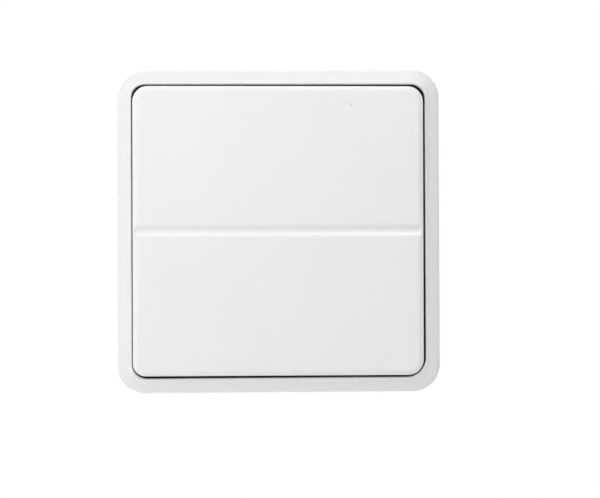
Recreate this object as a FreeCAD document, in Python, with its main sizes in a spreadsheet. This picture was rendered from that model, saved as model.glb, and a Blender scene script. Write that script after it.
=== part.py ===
import FreeCAD, Part
import Sketcher
import math
import os

# A wireless wall transmitter: a square moulded frame with one large rocker, clipped to a wall plate.
# X runs to the right and Z up, the wall is the plane Y = 0 and the rocker faces -Y. The origin is the
# middle of the rear face. "Depth" below is the distance from the wall, so depth = -Y. Millimetres.

doc = FreeCAD.newDocument("wall_switch")
dims = doc.addObject("Spreadsheet::Sheet", "dims")

SIZES = {
    # rocker plate
    "rocker_width": 67.2,
    "rocker_height": 66.9,
    "rocker_corner_radius": 3.0,
    "rocker_bevel_width": 0.9,
    "rocker_bevel_fall": 0.42,
    "rocker_edge_round": 0.4,
    "rocker_skin": 1.8,
    "rocker_proud": 1.2,
    "rocker_tilt": 1.6,
    "rocker_stop_clearance": 0.06,
    "skirt_depth": 6.4,
    "skirt_wall": 1.5,
    "groove_width": 3.2,
    "groove_flank_angle": 25.0,
    "groove_floor_radius": 1.25,
    "groove_shoulder_radius": 1.2,
    "rib_thickness": 1.2,
    "rib_height": 2.0,
    "rib_pitch": 34.0,
    "pivot_span": 50.0,
    "pivot_rise": 1.2,
    "pin_diameter": 3.0,
    "pin_length": 3.6,
    "ear_thickness": 2.5,
    "ear_length": 8.0,
    "post_width": 4.0,
    "post_height": 2.4,
    "post_gap": 0.05,
    # frame
    "rocker_gap": 0.4,
    "rocker_end_gap": 0.55,
    "lip_overhang": 1.3,
    "lip_thickness": 1.2,
    "lip_edge_bevel": 0.3,
    "opening_corner_radius": 2.7,
    "case_wall": 2.2,
    "case_corner_radius": 6.5,
    "case_standoff": 0.4,
    "ring_drop": 1.0,
    "ring_flat": 0.5,
    "ring_edge_round": 0.9,
    "notch_width": 8.0,
    "notch_height": 1.6,
    # chassis
    "chassis_clearance": 0.2,
    "chassis_wall": 1.2,
    "chassis_skirt_depth": 6.6,
    "deck_thickness": 1.6,
    "rim_clearance": 0.45,
    "bearing_side_gap": 0.15,
    "bearing_width": 3.0,
    "bearing_length": 7.0,
    "bearing_clearance": 0.05,
    "bearing_mouth": 2.5,
    "bearing_rise": 1.2,
    "boss_diameter": 5.0,
    "boss_inset": 4.5,
    "pilot_diameter": 2.0,
    "window_size": 5.6,
    "barb_length": 10.0,
    "barb_depth": 1.6,
    "barb_reach": 0.6,
    "barb_setback": 1.6,
    "barb_clearance": 0.15,
    # wall plate
    "plate_thickness": 2.0,
    "plate_clearance": 0.3,
    "plate_rim_wall": 1.0,
    "plate_rim_gap": 0.2,
    "plate_rib_height": 0.9,
    "plate_rib_thickness": 1.2,
    "plate_rib_pitch": 36.0,
    "plate_rib_length": 58.0,
    "screw_spacing": 60.0,
    "screw_slot_width": 4.2,
    "screw_slot_length": 7.0,
    "hook_pitch": 36.0,
    "hook_length": 10.0,
    "hook_setback": 1.0,
    "hook_slit": 1.0,
    # circuit board and its screws
    "battery_room": 1.9,
    "board_thickness": 1.6,
    "board_clearance": 2.9,
    "board_corner_cut": 2.0,
    "board_hole_diameter": 2.4,
    "component_room": 3.6,
    "screw_fit": 0.03,
    "screw_length": 5.0,
    "screw_head_diameter": 4.0,
    "screw_head_height": 1.4,
    # push switches
    "switch_arm": 9.0,
    "switch_size": 6.0,
    "switch_corner_cut": 0.5,
    "switch_base_height": 3.0,
    "switch_cover_thickness": 0.3,
    "switch_height": 5.0,
    "plunger_diameter": 3.4,
    "plunger_clearance": 0.15,
    "plunger_lift_room": 0.35,
    "flange_size": 4.4,
    "flange_thickness": 0.5,
    "well_clearance": 0.2,
    "dome_rise": 0.38,
    "dome_thickness": 0.1,
    "dome_width": 2.4,
    "dome_crown": 1.6,
    "dome_gap": 0.02,
    "terminal_pitch": 4.5,
    "terminal_width": 0.7,
    "terminal_thickness": 0.2,
    "terminal_height": 1.0,
    "terminal_foot": 1.0,
    # battery
    "cell_diameter": 24.5,
    "cell_thickness": 3.0,
    "cell_cap_diameter": 20.4,
    "cell_cap_height": 0.4,
    "holder_floor": 0.8,
    "holder_wall": 1.5,
    "holder_gap": 0.25,
    "holder_wall_drop": 0.6,
    "finger_notch_width": 12.0,
    "contact_window": 9.0,
    "contact_length": 8.0,
    "contact_width": 4.0,
    "contact_crown": 1.6,
    "contact_foot": 1.8,
    "contact_thickness": 0.2,
    "clip_width": 6.0,
    "clip_thickness": 0.3,
    "clip_room": 0.4,
    "clip_side_gap": 0.15,
    "clip_dimple_width": 3.0,
    "clip_dimple_run": 2.0,
    # radio and small parts on the front of the board
    "radio_x": -19.0,
    "radio_width": 15.0,
    "radio_height": 20.0,
    "radio_thickness": 0.8,
    "shield_width": 13.0,
    "shield_height": 13.0,
    "shield_depth": 2.2,
    "shield_wall": 0.2,
    "shield_corner_radius": 0.8,
    "shield_offset": 2.5,
    "antenna_left": -21.0,
    "antenna_right": 11.0,
    "antenna_z": 20.5,
    "antenna_width": 1.2,
    "antenna_thickness": 0.4,
    "antenna_height": 2.3,
    "controller_x": 17.0,
    "controller_z": 5.0,
    "controller_size": 7.0,
    "controller_thickness": 0.9,
    "crystal_x": 17.0,
    "crystal_z": -4.0,
    "crystal_width": 5.0,
    "crystal_height": 3.2,
    "crystal_thickness": 1.2,
    "crystal_rim_bevel": 0.5,
    "led_x": 19.0,
    "led_z": 17.0,
    "led_width": 3.2,
    "led_height": 2.8,
    "led_thickness": 0.9,
    "led_lens_size": 2.2,
    "led_lens_height": 0.7,
    "led_lens_bevel": 0.4,
    "led_window": 3.0,
    "setup_x": 17.0,
    "setup_z": -17.0,
    "setup_size": 4.5,
    "setup_base_height": 1.8,
    "setup_cap_size": 2.6,
    "setup_cap_height": 1.9,
    "setup_cap_clearance": 0.05,
    "setup_well_depth": 1.3,
    "setup_travel_room": 0.3,
    "setup_window": 3.6,
    "chip_length": 2.0,
    "chip_width": 1.2,
    "chip_thickness": 0.8,
    "chip_pitch": 2.4,
    "chip_row_x": 10.0,
    "chip_row_z": 9.0,
}
CHIP_COLUMNS = 2
CHIP_ROWS = 4

for row, (alias, value) in enumerate(SIZES.items(), start=1):
    dims.set(f"A{row}", alias)
    dims.set(f"B{row}", str(value))
    dims.setAlias(f"B{row}", alias)
doc.recompute()

# half widths, from the rocker outwards
ROCKER_X = "dims.rocker_width / 2"
ROCKER_Z = "dims.rocker_height / 2"
OPENING_X = f"{ROCKER_X} + dims.rocker_gap"
OPENING_Z = f"{ROCKER_Z} + dims.rocker_end_gap"
CAVITY_X = f"{OPENING_X} + dims.lip_overhang"
CAVITY_Z = f"{OPENING_Z} + dims.lip_overhang"
CASE_X = f"{CAVITY_X} + dims.case_wall"
CASE_Z = f"{CAVITY_Z} + dims.case_wall"
CAVITY_RADIUS = "dims.case_corner_radius - dims.case_wall"
CHASSIS_X = f"{CAVITY_X} - dims.chassis_clearance"
CHASSIS_Z = f"{CAVITY_Z} - dims.chassis_clearance"
CHASSIS_RADIUS = f"{CAVITY_RADIUS} - dims.chassis_clearance"
PLATE_X = f"{CAVITY_X} - dims.plate_clearance"
PLATE_Z = f"{CAVITY_Z} - dims.plate_clearance"
PLATE_RADIUS = f"{CAVITY_RADIUS} - dims.plate_clearance"
BOARD_X = f"{CHASSIS_X} - dims.chassis_wall - dims.board_clearance"
BOARD_Z = f"{CHASSIS_Z} - dims.chassis_wall - dims.board_clearance"
BOSS_X = f"{BOARD_X} - dims.boss_inset"
BOSS_Z = f"{BOARD_Z} - dims.boss_inset"

# depths, from the wall outwards
PLATE_FRONT = "dims.plate_thickness"
CLIP_REAR = f"{PLATE_FRONT} + dims.battery_room"
CLIP_FRONT = f"{CLIP_REAR} + dims.clip_thickness"
CELL_REAR = f"{CLIP_FRONT} + dims.clip_room"
CELL_FRONT = f"{CELL_REAR} + dims.cell_thickness"
BOARD_REAR = f"{CELL_FRONT} + dims.holder_floor"
BOARD_FRONT = f"{BOARD_REAR} + dims.board_thickness"
DECK_REAR = f"{BOARD_FRONT} + dims.component_room"
DECK_FRONT = f"{DECK_REAR} + dims.deck_thickness"
SKIRT_REAR = f"{DECK_FRONT} + {ROCKER_Z} * tan(dims.rocker_tilt) + dims.rocker_stop_clearance"
ROCKER_FRONT = f"{SKIRT_REAR} + dims.skirt_depth"
ROCKER_UNDERSIDE = f"{ROCKER_FRONT} - dims.rocker_skin"
PIVOT = f"{SKIRT_REAR} + dims.pivot_rise"
CASE_FRONT = f"{ROCKER_FRONT} - dims.rocker_proud"
SHOULDER = f"{CASE_FRONT} - dims.ring_drop"
LIP_REAR = f"{CASE_FRONT} - dims.lip_thickness"
CHASSIS_REAR = f"{DECK_REAR} - dims.chassis_skirt_depth"
PLATE_RIM_FRONT = f"{CHASSIS_REAR} - dims.plate_rim_gap"
PLUNGER_TOP = f"{BOARD_FRONT} + dims.switch_height"
BARB_REAR = f"{CHASSIS_REAR} + dims.barb_setback"
BARB_FRONT = f"{BARB_REAR} + dims.barb_depth"
HOOK_FRONT = f"{PLATE_RIM_FRONT} - dims.hook_setback"
HOOK_REAR = f"{HOOK_FRONT} - dims.barb_depth"

LEVEL_TOLERANCE = 1e-4
SIDES = (1, -1)


def number(expression):
    """The present value of an expression over the sheet."""
    value = dims.evalExpression(expression)
    return float(getattr(value, "Value", value))


def minus(expression):
    return f"-({expression})"


def new_body(label):
    return doc.addObject("PartDesign::Body", label)


def new_sketch(body, name, plane="XZ_Plane", offset="0"):
    """A sketch on one of the body's own origin planes; XZ sketches face the front, offset by depth."""
    sketch = body.newObject("Sketcher::SketchObject", name)
    support = next(item for item in body.Origin.OriginFeatures if item.Role == plane)
    sketch.AttachmentSupport = [(support, "")]
    sketch.MapMode = "FlatFace"
    sketch.setExpression("AttachmentOffset.Base.z", offset)
    return sketch


def fix_point(sketch, item, end, place):
    """Tie one end of a sketch line or arc to a pair of expressions, measured from the origin."""
    for direction, expression, axis in (("DistanceX", place[0], -2), ("DistanceY", place[1], -1)):
        value = number(expression)
        if abs(value) < LEVEL_TOLERANCE:
            sketch.addConstraint(Sketcher.Constraint("PointOnObject", item, end, axis))
        elif value > 0:
            index = sketch.addConstraint(Sketcher.Constraint(direction, -1, 1, item, end, value))
            sketch.setExpression(f"Constraints[{index}]", expression)
        else:
            index = sketch.addConstraint(Sketcher.Constraint(direction, item, end, -1, 1, -value))
            sketch.setExpression(f"Constraints[{index}]", minus(expression))


def arc_between(start, end, radius, turn):
    """The shorter arc from start to end; turn is 1 for left and -1 for right."""
    chord = end - start
    height = math.sqrt(max(radius ** 2 - chord.Length ** 2 / 4, 0))
    left = FreeCAD.Vector(-chord.y, chord.x, 0).normalize()
    centre = (start + end) / 2 + left * (turn * height)
    first, last = (start, end) if turn > 0 else (end, start)
    angles = [math.atan2(point.y - centre.y, point.x - centre.x) for point in (first, last)]
    return Part.ArcOfCircle(Part.Circle(centre, FreeCAD.Vector(0, 0, 1), radius), *angles)


def outline(sketch, corners, closed=True):
    """A run of lines and arcs. A corner is (x, y), or (x, y, radius, turn) where an arc starts there."""
    places = [FreeCAD.Vector(number(corner[0]), number(corner[1]), 0) for corner in corners]
    runs = len(corners) if closed else len(corners) - 1
    ends = []
    for index in range(runs):
        start, end = places[index], places[(index + 1) % len(corners)]
        if len(corners[index]) == 2:
            item = sketch.addGeometry(Part.LineSegment(start, end))
            ends.append((item, 1, 2))
        else:
            radius, turn = corners[index][2:]
            item = sketch.addGeometry(arc_between(start, end, number(radius), turn))
            ends.append((item, 1, 2) if turn > 0 else (item, 2, 1))
            size = sketch.addConstraint(Sketcher.Constraint("Radius", item, number(radius)))
            sketch.setExpression(f"Constraints[{size}]", radius)
    for index, (item, first, last) in enumerate(ends):
        fix_point(sketch, item, first, corners[index])
        if closed or index + 1 < runs:
            after, after_first, _ = ends[(index + 1) % runs]
            sketch.addConstraint(Sketcher.Constraint("Coincident", item, last, after, after_first))
        else:
            fix_point(sketch, item, last, corners[-1])


def rectangle(sketch, centre_x, centre_y, width, height):
    left, right = f"{centre_x} - ({width}) / 2", f"{centre_x} + ({width}) / 2"
    low, high = f"{centre_y} - ({height}) / 2", f"{centre_y} + ({height}) / 2"
    outline(sketch, [(left, low), (right, low), (right, high), (left, high)])


def cut_rectangle(sketch, centre_x, centre_y, width, height, cut):
    """A rectangle with its four corners cut off."""
    left, right = f"{centre_x} - ({width}) / 2", f"{centre_x} + ({width}) / 2"
    low, high = f"{centre_y} - ({height}) / 2", f"{centre_y} + ({height}) / 2"
    outline(sketch, [
        (f"{left} + {cut}", low), (f"{right} - {cut}", low),
        (right, f"{low} + {cut}"), (right, f"{high} - {cut}"),
        (f"{right} - {cut}", high), (f"{left} + {cut}", high),
        (left, f"{high} - {cut}"), (left, f"{low} + {cut}"),
    ])


def rounded_rectangle(sketch, half_x, half_y, radius):
    flat_x, flat_y = f"{half_x} - ({radius})", f"{half_y} - ({radius})"
    outline(sketch, [
        (flat_x, minus(half_y), radius, 1), (half_x, minus(flat_y)),
        (half_x, flat_y, radius, 1), (flat_x, half_y),
        (minus(flat_x), half_y, radius, 1), (minus(half_x), flat_y),
        (minus(half_x), minus(flat_y), radius, 1), (minus(flat_x), minus(half_y)),
    ])


def circle(sketch, centre_x, centre_y, diameter):
    centre = FreeCAD.Vector(number(centre_x), number(centre_y), 0)
    round_line = Part.Circle(centre, FreeCAD.Vector(0, 0, 1), number(diameter) / 2)
    item = sketch.addGeometry(round_line)
    size = sketch.addConstraint(Sketcher.Constraint("Diameter", item, number(diameter)))
    sketch.setExpression(f"Constraints[{size}]", diameter)
    fix_point(sketch, item, 3, (centre_x, centre_y))


def extrude(body, kind, name, sketch, length, forward, symmetric):
    before = body.Shape.Volume if body.Tip else 0
    feature = body.newObject(f"PartDesign::{kind}", name)
    feature.Profile = sketch
    feature.setExpression("Length", length)
    feature.Reversed = forward if kind == "Pocket" else not forward
    feature.SideType = "Symmetric" if symmetric else "One side"
    sketch.Visibility = False
    doc.recompute()
    grew = body.Shape.Volume > before
    if grew == (kind == "Pocket"):
        raise RuntimeError(f"{body.Label}: {name} changed nothing")
    return feature


def pad(body, name, sketch, length, forward=True, symmetric=False):
    return extrude(body, "Pad", name, sketch, length, forward, symmetric)


def pocket(body, name, sketch, length, forward=True, symmetric=False):
    return extrude(body, "Pocket", name, sketch, length, forward, symmetric)


def edges_at_depth(feature, depth):
    """Names of the feature's edges that lie wholly at one depth."""
    level = -number(depth)
    names = []
    for index, edge in enumerate(feature.Shape.Edges, start=1):
        box = edge.BoundBox
        if max(abs(box.YMin - level), abs(box.YMax - level)) < LEVEL_TOLERANCE:
            names.append(f"Edge{index}")
    return names


def dress(body, kind, name, base, edges, size):
    """A fillet or chamfer along the named edges."""
    feature = body.newObject(f"PartDesign::{kind}", name)
    feature.Base = (base, edges)
    feature.setExpression("Radius" if kind == "Fillet" else "Size", size)
    doc.recompute()
    return feature


def block(name, centre_x, centre_z, rear, width, height, thickness):
    """A box that stands on a depth: width along X, height along Z, thickness towards the front."""
    solid = doc.addObject("Part::Box", name)
    solid.setExpression("Length", width)
    solid.setExpression("Width", thickness)
    solid.setExpression("Height", height)
    solid.setExpression("Placement.Base.x", f"{centre_x} - ({width}) / 2")
    solid.setExpression("Placement.Base.y", f"-({rear}) - ({thickness})")
    solid.setExpression("Placement.Base.z", f"{centre_z} - ({height}) / 2")
    return solid


def rod(name, centre_x, centre_z, rear, diameter, length):
    """A cylinder along the depth, from rear towards the front."""
    solid = doc.addObject("Part::Cylinder", name)
    solid.Placement = FreeCAD.Placement(FreeCAD.Vector(), FreeCAD.Rotation(FreeCAD.Vector(1, 0, 0), 90))
    solid.setExpression("Radius", f"({diameter}) / 2")
    solid.setExpression("Height", length)
    solid.setExpression("Placement.Base.x", centre_x)
    solid.setExpression("Placement.Base.y", minus(rear))
    solid.setExpression("Placement.Base.z", centre_z)
    return solid


def group(label, solids):
    """One node of several separate solids."""
    node = doc.addObject("Part::MultiFuse", label)
    node.Shapes = solids
    doc.recompute()
    return node


def signed(side, expression):
    return expression if side > 0 else minus(expression)


def make_frame():
    """The surround: upright walls, a ring that slopes away from the opening, a lip over the chassis."""
    body = new_body("frame")
    sketch = new_sketch(body, "frame_outline", offset="dims.case_standoff")
    rounded_rectangle(sketch, CASE_X, CASE_Z, "dims.case_corner_radius")
    block_pad = pad(body, "frame_block", sketch, f"{CASE_FRONT} - dims.case_standoff")
    front_edges = edges_at_depth(block_pad, CASE_FRONT)
    ring = dress(body, "Chamfer", "frame_ring", block_pad, front_edges, "dims.ring_drop")
    ring.ChamferType = "Two distances"
    ring.setExpression("Size2", "dims.lip_overhang + dims.case_wall - dims.ring_flat")
    doc.recompute()
    shoulder_edges = edges_at_depth(ring, SHOULDER)
    dress(body, "Fillet", "frame_shoulder_round", ring, shoulder_edges, "dims.ring_edge_round")

    sketch = new_sketch(body, "frame_cavity_outline")
    rounded_rectangle(sketch, CAVITY_X, CAVITY_Z, CAVITY_RADIUS)
    pocket(body, "frame_cavity", sketch, LIP_REAR)

    sketch = new_sketch(body, "frame_opening_outline")
    rounded_rectangle(sketch, OPENING_X, OPENING_Z, "dims.opening_corner_radius")
    opening = pocket(body, "frame_opening", sketch, ROCKER_FRONT)
    front_edges = edges_at_depth(opening, CASE_FRONT)
    reach_x, reach_z = number(OPENING_X) + LEVEL_TOLERANCE, number(OPENING_Z) + LEVEL_TOLERANCE
    lip_edges = []
    for name in front_edges:
        box = opening.Shape.getElement(name).BoundBox
        if max(abs(box.XMin), box.XMax) <= reach_x and max(abs(box.ZMin), box.ZMax) <= reach_z:
            lip_edges.append(name)
    dress(body, "Chamfer", "frame_lip_bevel", opening, lip_edges, "dims.lip_edge_bevel")

    # recesses for the chassis barbs in the side walls and for the wall plate's hooks above and below
    recess = "(dims.barb_reach + dims.barb_clearance)"
    sketch = new_sketch(body, "frame_barb_recess_outline", plane="YZ_Plane")
    rectangle(sketch, f"-({BARB_REAR} + dims.barb_depth / 2)", "0",
              "dims.barb_depth + 2 * dims.barb_clearance", "dims.barb_length + 2 * dims.barb_clearance")
    pocket(body, "frame_barb_recesses", sketch,
           f"2 * ({CHASSIS_X} + {recess})", symmetric=True)
    sketch = new_sketch(body, "frame_hook_recess_outline", plane="XY_Plane")
    for side in SIDES:
        rectangle(sketch, signed(side, "dims.hook_pitch / 2"), f"-({HOOK_REAR} + dims.barb_depth / 2)",
                  "dims.hook_length + 2 * dims.barb_clearance", "dims.barb_depth + 2 * dims.barb_clearance")
    pocket(body, "frame_hook_recesses", sketch, f"2 * ({PLATE_Z} + {recess})", symmetric=True)

    # notch under the frame where a screwdriver lifts it off the wall plate
    sketch = new_sketch(body, "frame_notch_outline", plane="XY_Plane", offset=minus(CAVITY_Z))
    rectangle(sketch, "0", "-dims.case_standoff - dims.notch_height / 2",
              "dims.notch_width", "dims.notch_height")
    pocket(body, "frame_notch", sketch, "2 * dims.case_wall", forward=False)
    return body


def make_rocker():
    """The rocker: a bevelled plate with a skirt, a soft groove across it, ribs, pivot pins and blades."""
    body = new_body("rocker")
    sketch = new_sketch(body, "rocker_outline", offset=SKIRT_REAR)
    rounded_rectangle(sketch, ROCKER_X, ROCKER_Z, "dims.rocker_corner_radius")
    plate = pad(body, "rocker_plate", sketch, "dims.skirt_depth")
    bevel = dress(body, "Chamfer", "rocker_bevel", plate, edges_at_depth(plate, ROCKER_FRONT),
                  "dims.rocker_bevel_fall")
    bevel.ChamferType = "Two distances"
    bevel.setExpression("Size2", "dims.rocker_bevel_width")
    doc.recompute()
    bevel_edges = edges_at_depth(bevel, f"{ROCKER_FRONT} - dims.rocker_bevel_fall")
    dress(body, "Fillet", "rocker_edge", bevel, bevel_edges, "dims.rocker_edge_round")

    inner_x, inner_z = f"{ROCKER_X} - dims.skirt_wall", f"{ROCKER_Z} - dims.skirt_wall"
    sketch = new_sketch(body, "rocker_hollow_outline", offset=SKIRT_REAR)
    rounded_rectangle(sketch, inner_x, inner_z, "dims.rocker_corner_radius - dims.skirt_wall")
    pocket(body, "rocker_hollow", sketch, "dims.skirt_depth - dims.rocker_skin")

    # groove: rounded shoulders, straight flanks and a rounded floor
    radii = "(dims.groove_shoulder_radius + dims.groove_floor_radius)"
    sine, cosine = "sin(dims.groove_flank_angle)", "cos(dims.groove_flank_angle)"
    half = "dims.groove_width / 2"
    depth = f"({radii} * (1 - {cosine}) + ({half} - {radii} * {sine}) * {sine} / {cosine})"
    flank_top = f"{half} - dims.groove_shoulder_radius * {sine}"
    flank_top_depth = f"dims.groove_shoulder_radius * (1 - {cosine})"
    flank_foot = f"dims.groove_floor_radius * {sine}"
    flank_foot_depth = f"{depth} - dims.groove_floor_radius * (1 - {cosine})"
    front = minus(ROCKER_FRONT)
    clear = f"{front} - dims.rocker_skin"
    sketch = new_sketch(body, "rocker_groove_outline", plane="YZ_Plane")
    outline(sketch, [
        (front, half, "dims.groove_shoulder_radius", 1),
        (f"{front} + {flank_top_depth}", flank_top),
        (f"{front} + {flank_foot_depth}", flank_foot, "dims.groove_floor_radius", -1),
        (f"{front} + {flank_foot_depth}", minus(flank_foot)),
        (f"{front} + {flank_top_depth}", minus(flank_top), "dims.groove_shoulder_radius", 1),
        (front, minus(half)),
        (clear, minus(half)),
        (clear, half),
    ])
    pocket(body, "rocker_groove", sketch, "2 * dims.rocker_width", symmetric=True)

    # ribs under the plate, running into the skirt on every side
    span_x, span_z = f"2 * ({inner_x}) + dims.skirt_wall", f"2 * ({inner_z}) + dims.skirt_wall"
    sketch = new_sketch(body, "rocker_upright_ribs_outline", offset=ROCKER_UNDERSIDE)
    for side in SIDES:
        rectangle(sketch, signed(side, "dims.rib_pitch / 2"), "0", "dims.rib_thickness", span_z)
    pad(body, "rocker_upright_ribs", sketch, "dims.rib_height", forward=False)
    sketch = new_sketch(body, "rocker_cross_ribs_outline", offset=ROCKER_UNDERSIDE)
    for side in SIDES:
        rectangle(sketch, "0", signed(side, "dims.rib_pitch / 2"), span_x, "dims.rib_thickness")
    pad(body, "rocker_cross_ribs", sketch, "dims.rib_height", forward=False)

    # ears that carry the pivot pins, one at each side on the groove's line
    pin_radius = "dims.pin_diameter / 2"
    sketch = new_sketch(body, "rocker_ears_outline", offset=ROCKER_UNDERSIDE)
    for side in SIDES:
        centre = signed(side, "dims.pivot_span / 2 - dims.ear_thickness / 2")
        rectangle(sketch, centre, "0", "dims.ear_thickness", "dims.ear_length")
    pad(body, "rocker_ears", sketch, f"{ROCKER_UNDERSIDE} - ({PIVOT} - {pin_radius})", forward=False)
    for side, name in zip(SIDES, ("right", "left")):
        ear_face = signed(side, "dims.pivot_span / 2")
        sketch = new_sketch(body, f"rocker_{name}_pin_outline", "YZ_Plane", ear_face)
        circle(sketch, minus(PIVOT), "0", "dims.pin_diameter")
        pad(body, f"rocker_{name}_pin", sketch, "dims.pin_length", forward=side > 0)

    # blades that press the two switches
    sketch = new_sketch(body, "rocker_posts_outline", offset=ROCKER_UNDERSIDE)
    for side in SIDES:
        rectangle(sketch, "0", signed(side, "dims.switch_arm"), "dims.post_width", "dims.post_height")
    pad(body, "rocker_posts", sketch, f"{ROCKER_UNDERSIDE} - ({PLUNGER_TOP} + dims.post_gap)", forward=False)
    return body


def make_chassis():
    """The dark carrier: a deck with a rim under the frame's lip, a rear skirt, bosses and bearings."""
    body = new_body("chassis")
    sketch = new_sketch(body, "chassis_deck_outline", offset=DECK_REAR)
    rounded_rectangle(sketch, CHASSIS_X, CHASSIS_Z, CHASSIS_RADIUS)
    pad(body, "chassis_deck", sketch, "dims.deck_thickness")

    rim_x, rim_z = f"{ROCKER_X} + dims.rim_clearance", f"{ROCKER_Z} + dims.rim_clearance"
    sketch = new_sketch(body, "chassis_rim_outline", offset=DECK_FRONT)
    rounded_rectangle(sketch, CHASSIS_X, CHASSIS_Z, CHASSIS_RADIUS)
    rounded_rectangle(sketch, rim_x, rim_z, "dims.rocker_corner_radius")
    pad(body, "chassis_rim", sketch, f"{LIP_REAR} - ({DECK_FRONT})")

    sketch = new_sketch(body, "chassis_skirt_outline", offset=DECK_REAR)
    rounded_rectangle(sketch, CHASSIS_X, CHASSIS_Z, CHASSIS_RADIUS)
    rounded_rectangle(sketch, f"{CHASSIS_X} - dims.chassis_wall", f"{CHASSIS_Z} - dims.chassis_wall",
                      f"{CHASSIS_RADIUS} - dims.chassis_wall")
    pad(body, "chassis_skirt", sketch, "dims.chassis_skirt_depth", forward=False)

    # two bosses take the board's screws, and two square rests bear on its other corners
    sketch = new_sketch(body, "chassis_bosses_outline", offset=DECK_REAR)
    for side in SIDES:
        circle(sketch, signed(side, BOSS_X), signed(side, BOSS_Z), "dims.boss_diameter")
        rectangle(sketch, signed(-side, BOSS_X), signed(side, BOSS_Z),
                  "dims.boss_diameter", "dims.boss_diameter")
    pad(body, "chassis_bosses", sketch, "dims.component_room", forward=False)
    sketch = new_sketch(body, "chassis_pilots_outline", offset=BOARD_FRONT)
    for side in SIDES:
        circle(sketch, signed(side, BOSS_X), signed(side, BOSS_Z), "dims.pilot_diameter")
    pocket(body, "chassis_pilots", sketch, "dims.component_room + dims.deck_thickness / 2")

    # windows for the two plungers, the lamp and the setup button
    sketch = new_sketch(body, "chassis_windows_outline", offset=DECK_REAR)
    for side in SIDES:
        rectangle(sketch, "0", signed(side, "dims.switch_arm"), "dims.window_size", "dims.window_size")
    rectangle(sketch, "dims.led_x", "dims.led_z", "dims.led_window", "dims.led_window")
    rectangle(sketch, "dims.setup_x", "dims.setup_z", "dims.setup_window", "dims.setup_window")
    pocket(body, "chassis_windows", sketch, "dims.deck_thickness")

    # open snap bearings for the rocker's pins
    sketch = new_sketch(body, "chassis_towers_outline", offset=DECK_FRONT)
    for side in SIDES:
        centre = "dims.pivot_span / 2 + dims.bearing_side_gap + dims.bearing_width / 2"
        rectangle(sketch, signed(side, centre), "0", "dims.bearing_width", "dims.bearing_length")
    pad(body, "chassis_towers", sketch, f"{PIVOT} + dims.bearing_rise - ({DECK_FRONT})")
    seat = "(dims.pin_diameter / 2 + dims.bearing_clearance)"
    mouth = "dims.bearing_mouth / 2"
    neck = f"-({PIVOT}) - sqrt({seat} * {seat} - {mouth} * {mouth})"
    above = f"-({PIVOT}) - 2 * dims.bearing_rise"
    sketch = new_sketch(body, "chassis_bearing_outline", plane="YZ_Plane")
    outline(sketch, [
        (neck, mouth, seat, -1),
        (f"{seat} - ({PIVOT})", "0", seat, -1),
        (neck, minus(mouth)),
        (above, minus(mouth)),
        (above, mouth),
    ])
    pocket(body, "chassis_bearings", sketch,
           "dims.pivot_span + 2 * dims.bearing_side_gap + 2 * dims.bearing_width", symmetric=True)

    # barbs that snap into the frame's side walls
    sketch = new_sketch(body, "chassis_barbs_outline", plane="XY_Plane")
    for side in SIDES:
        wall = signed(side, f"{CHASSIS_X} - dims.chassis_wall / 2")
        face = signed(side, CHASSIS_X)
        tip = signed(side, f"{CHASSIS_X} + dims.barb_reach")
        outline(sketch, [
            (wall, minus(BARB_REAR)), (tip, minus(BARB_REAR)),
            (face, minus(BARB_FRONT)), (wall, minus(BARB_FRONT)),
        ])
    pad(body, "chassis_barbs", sketch, "dims.barb_length", symmetric=True)
    return body


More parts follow.
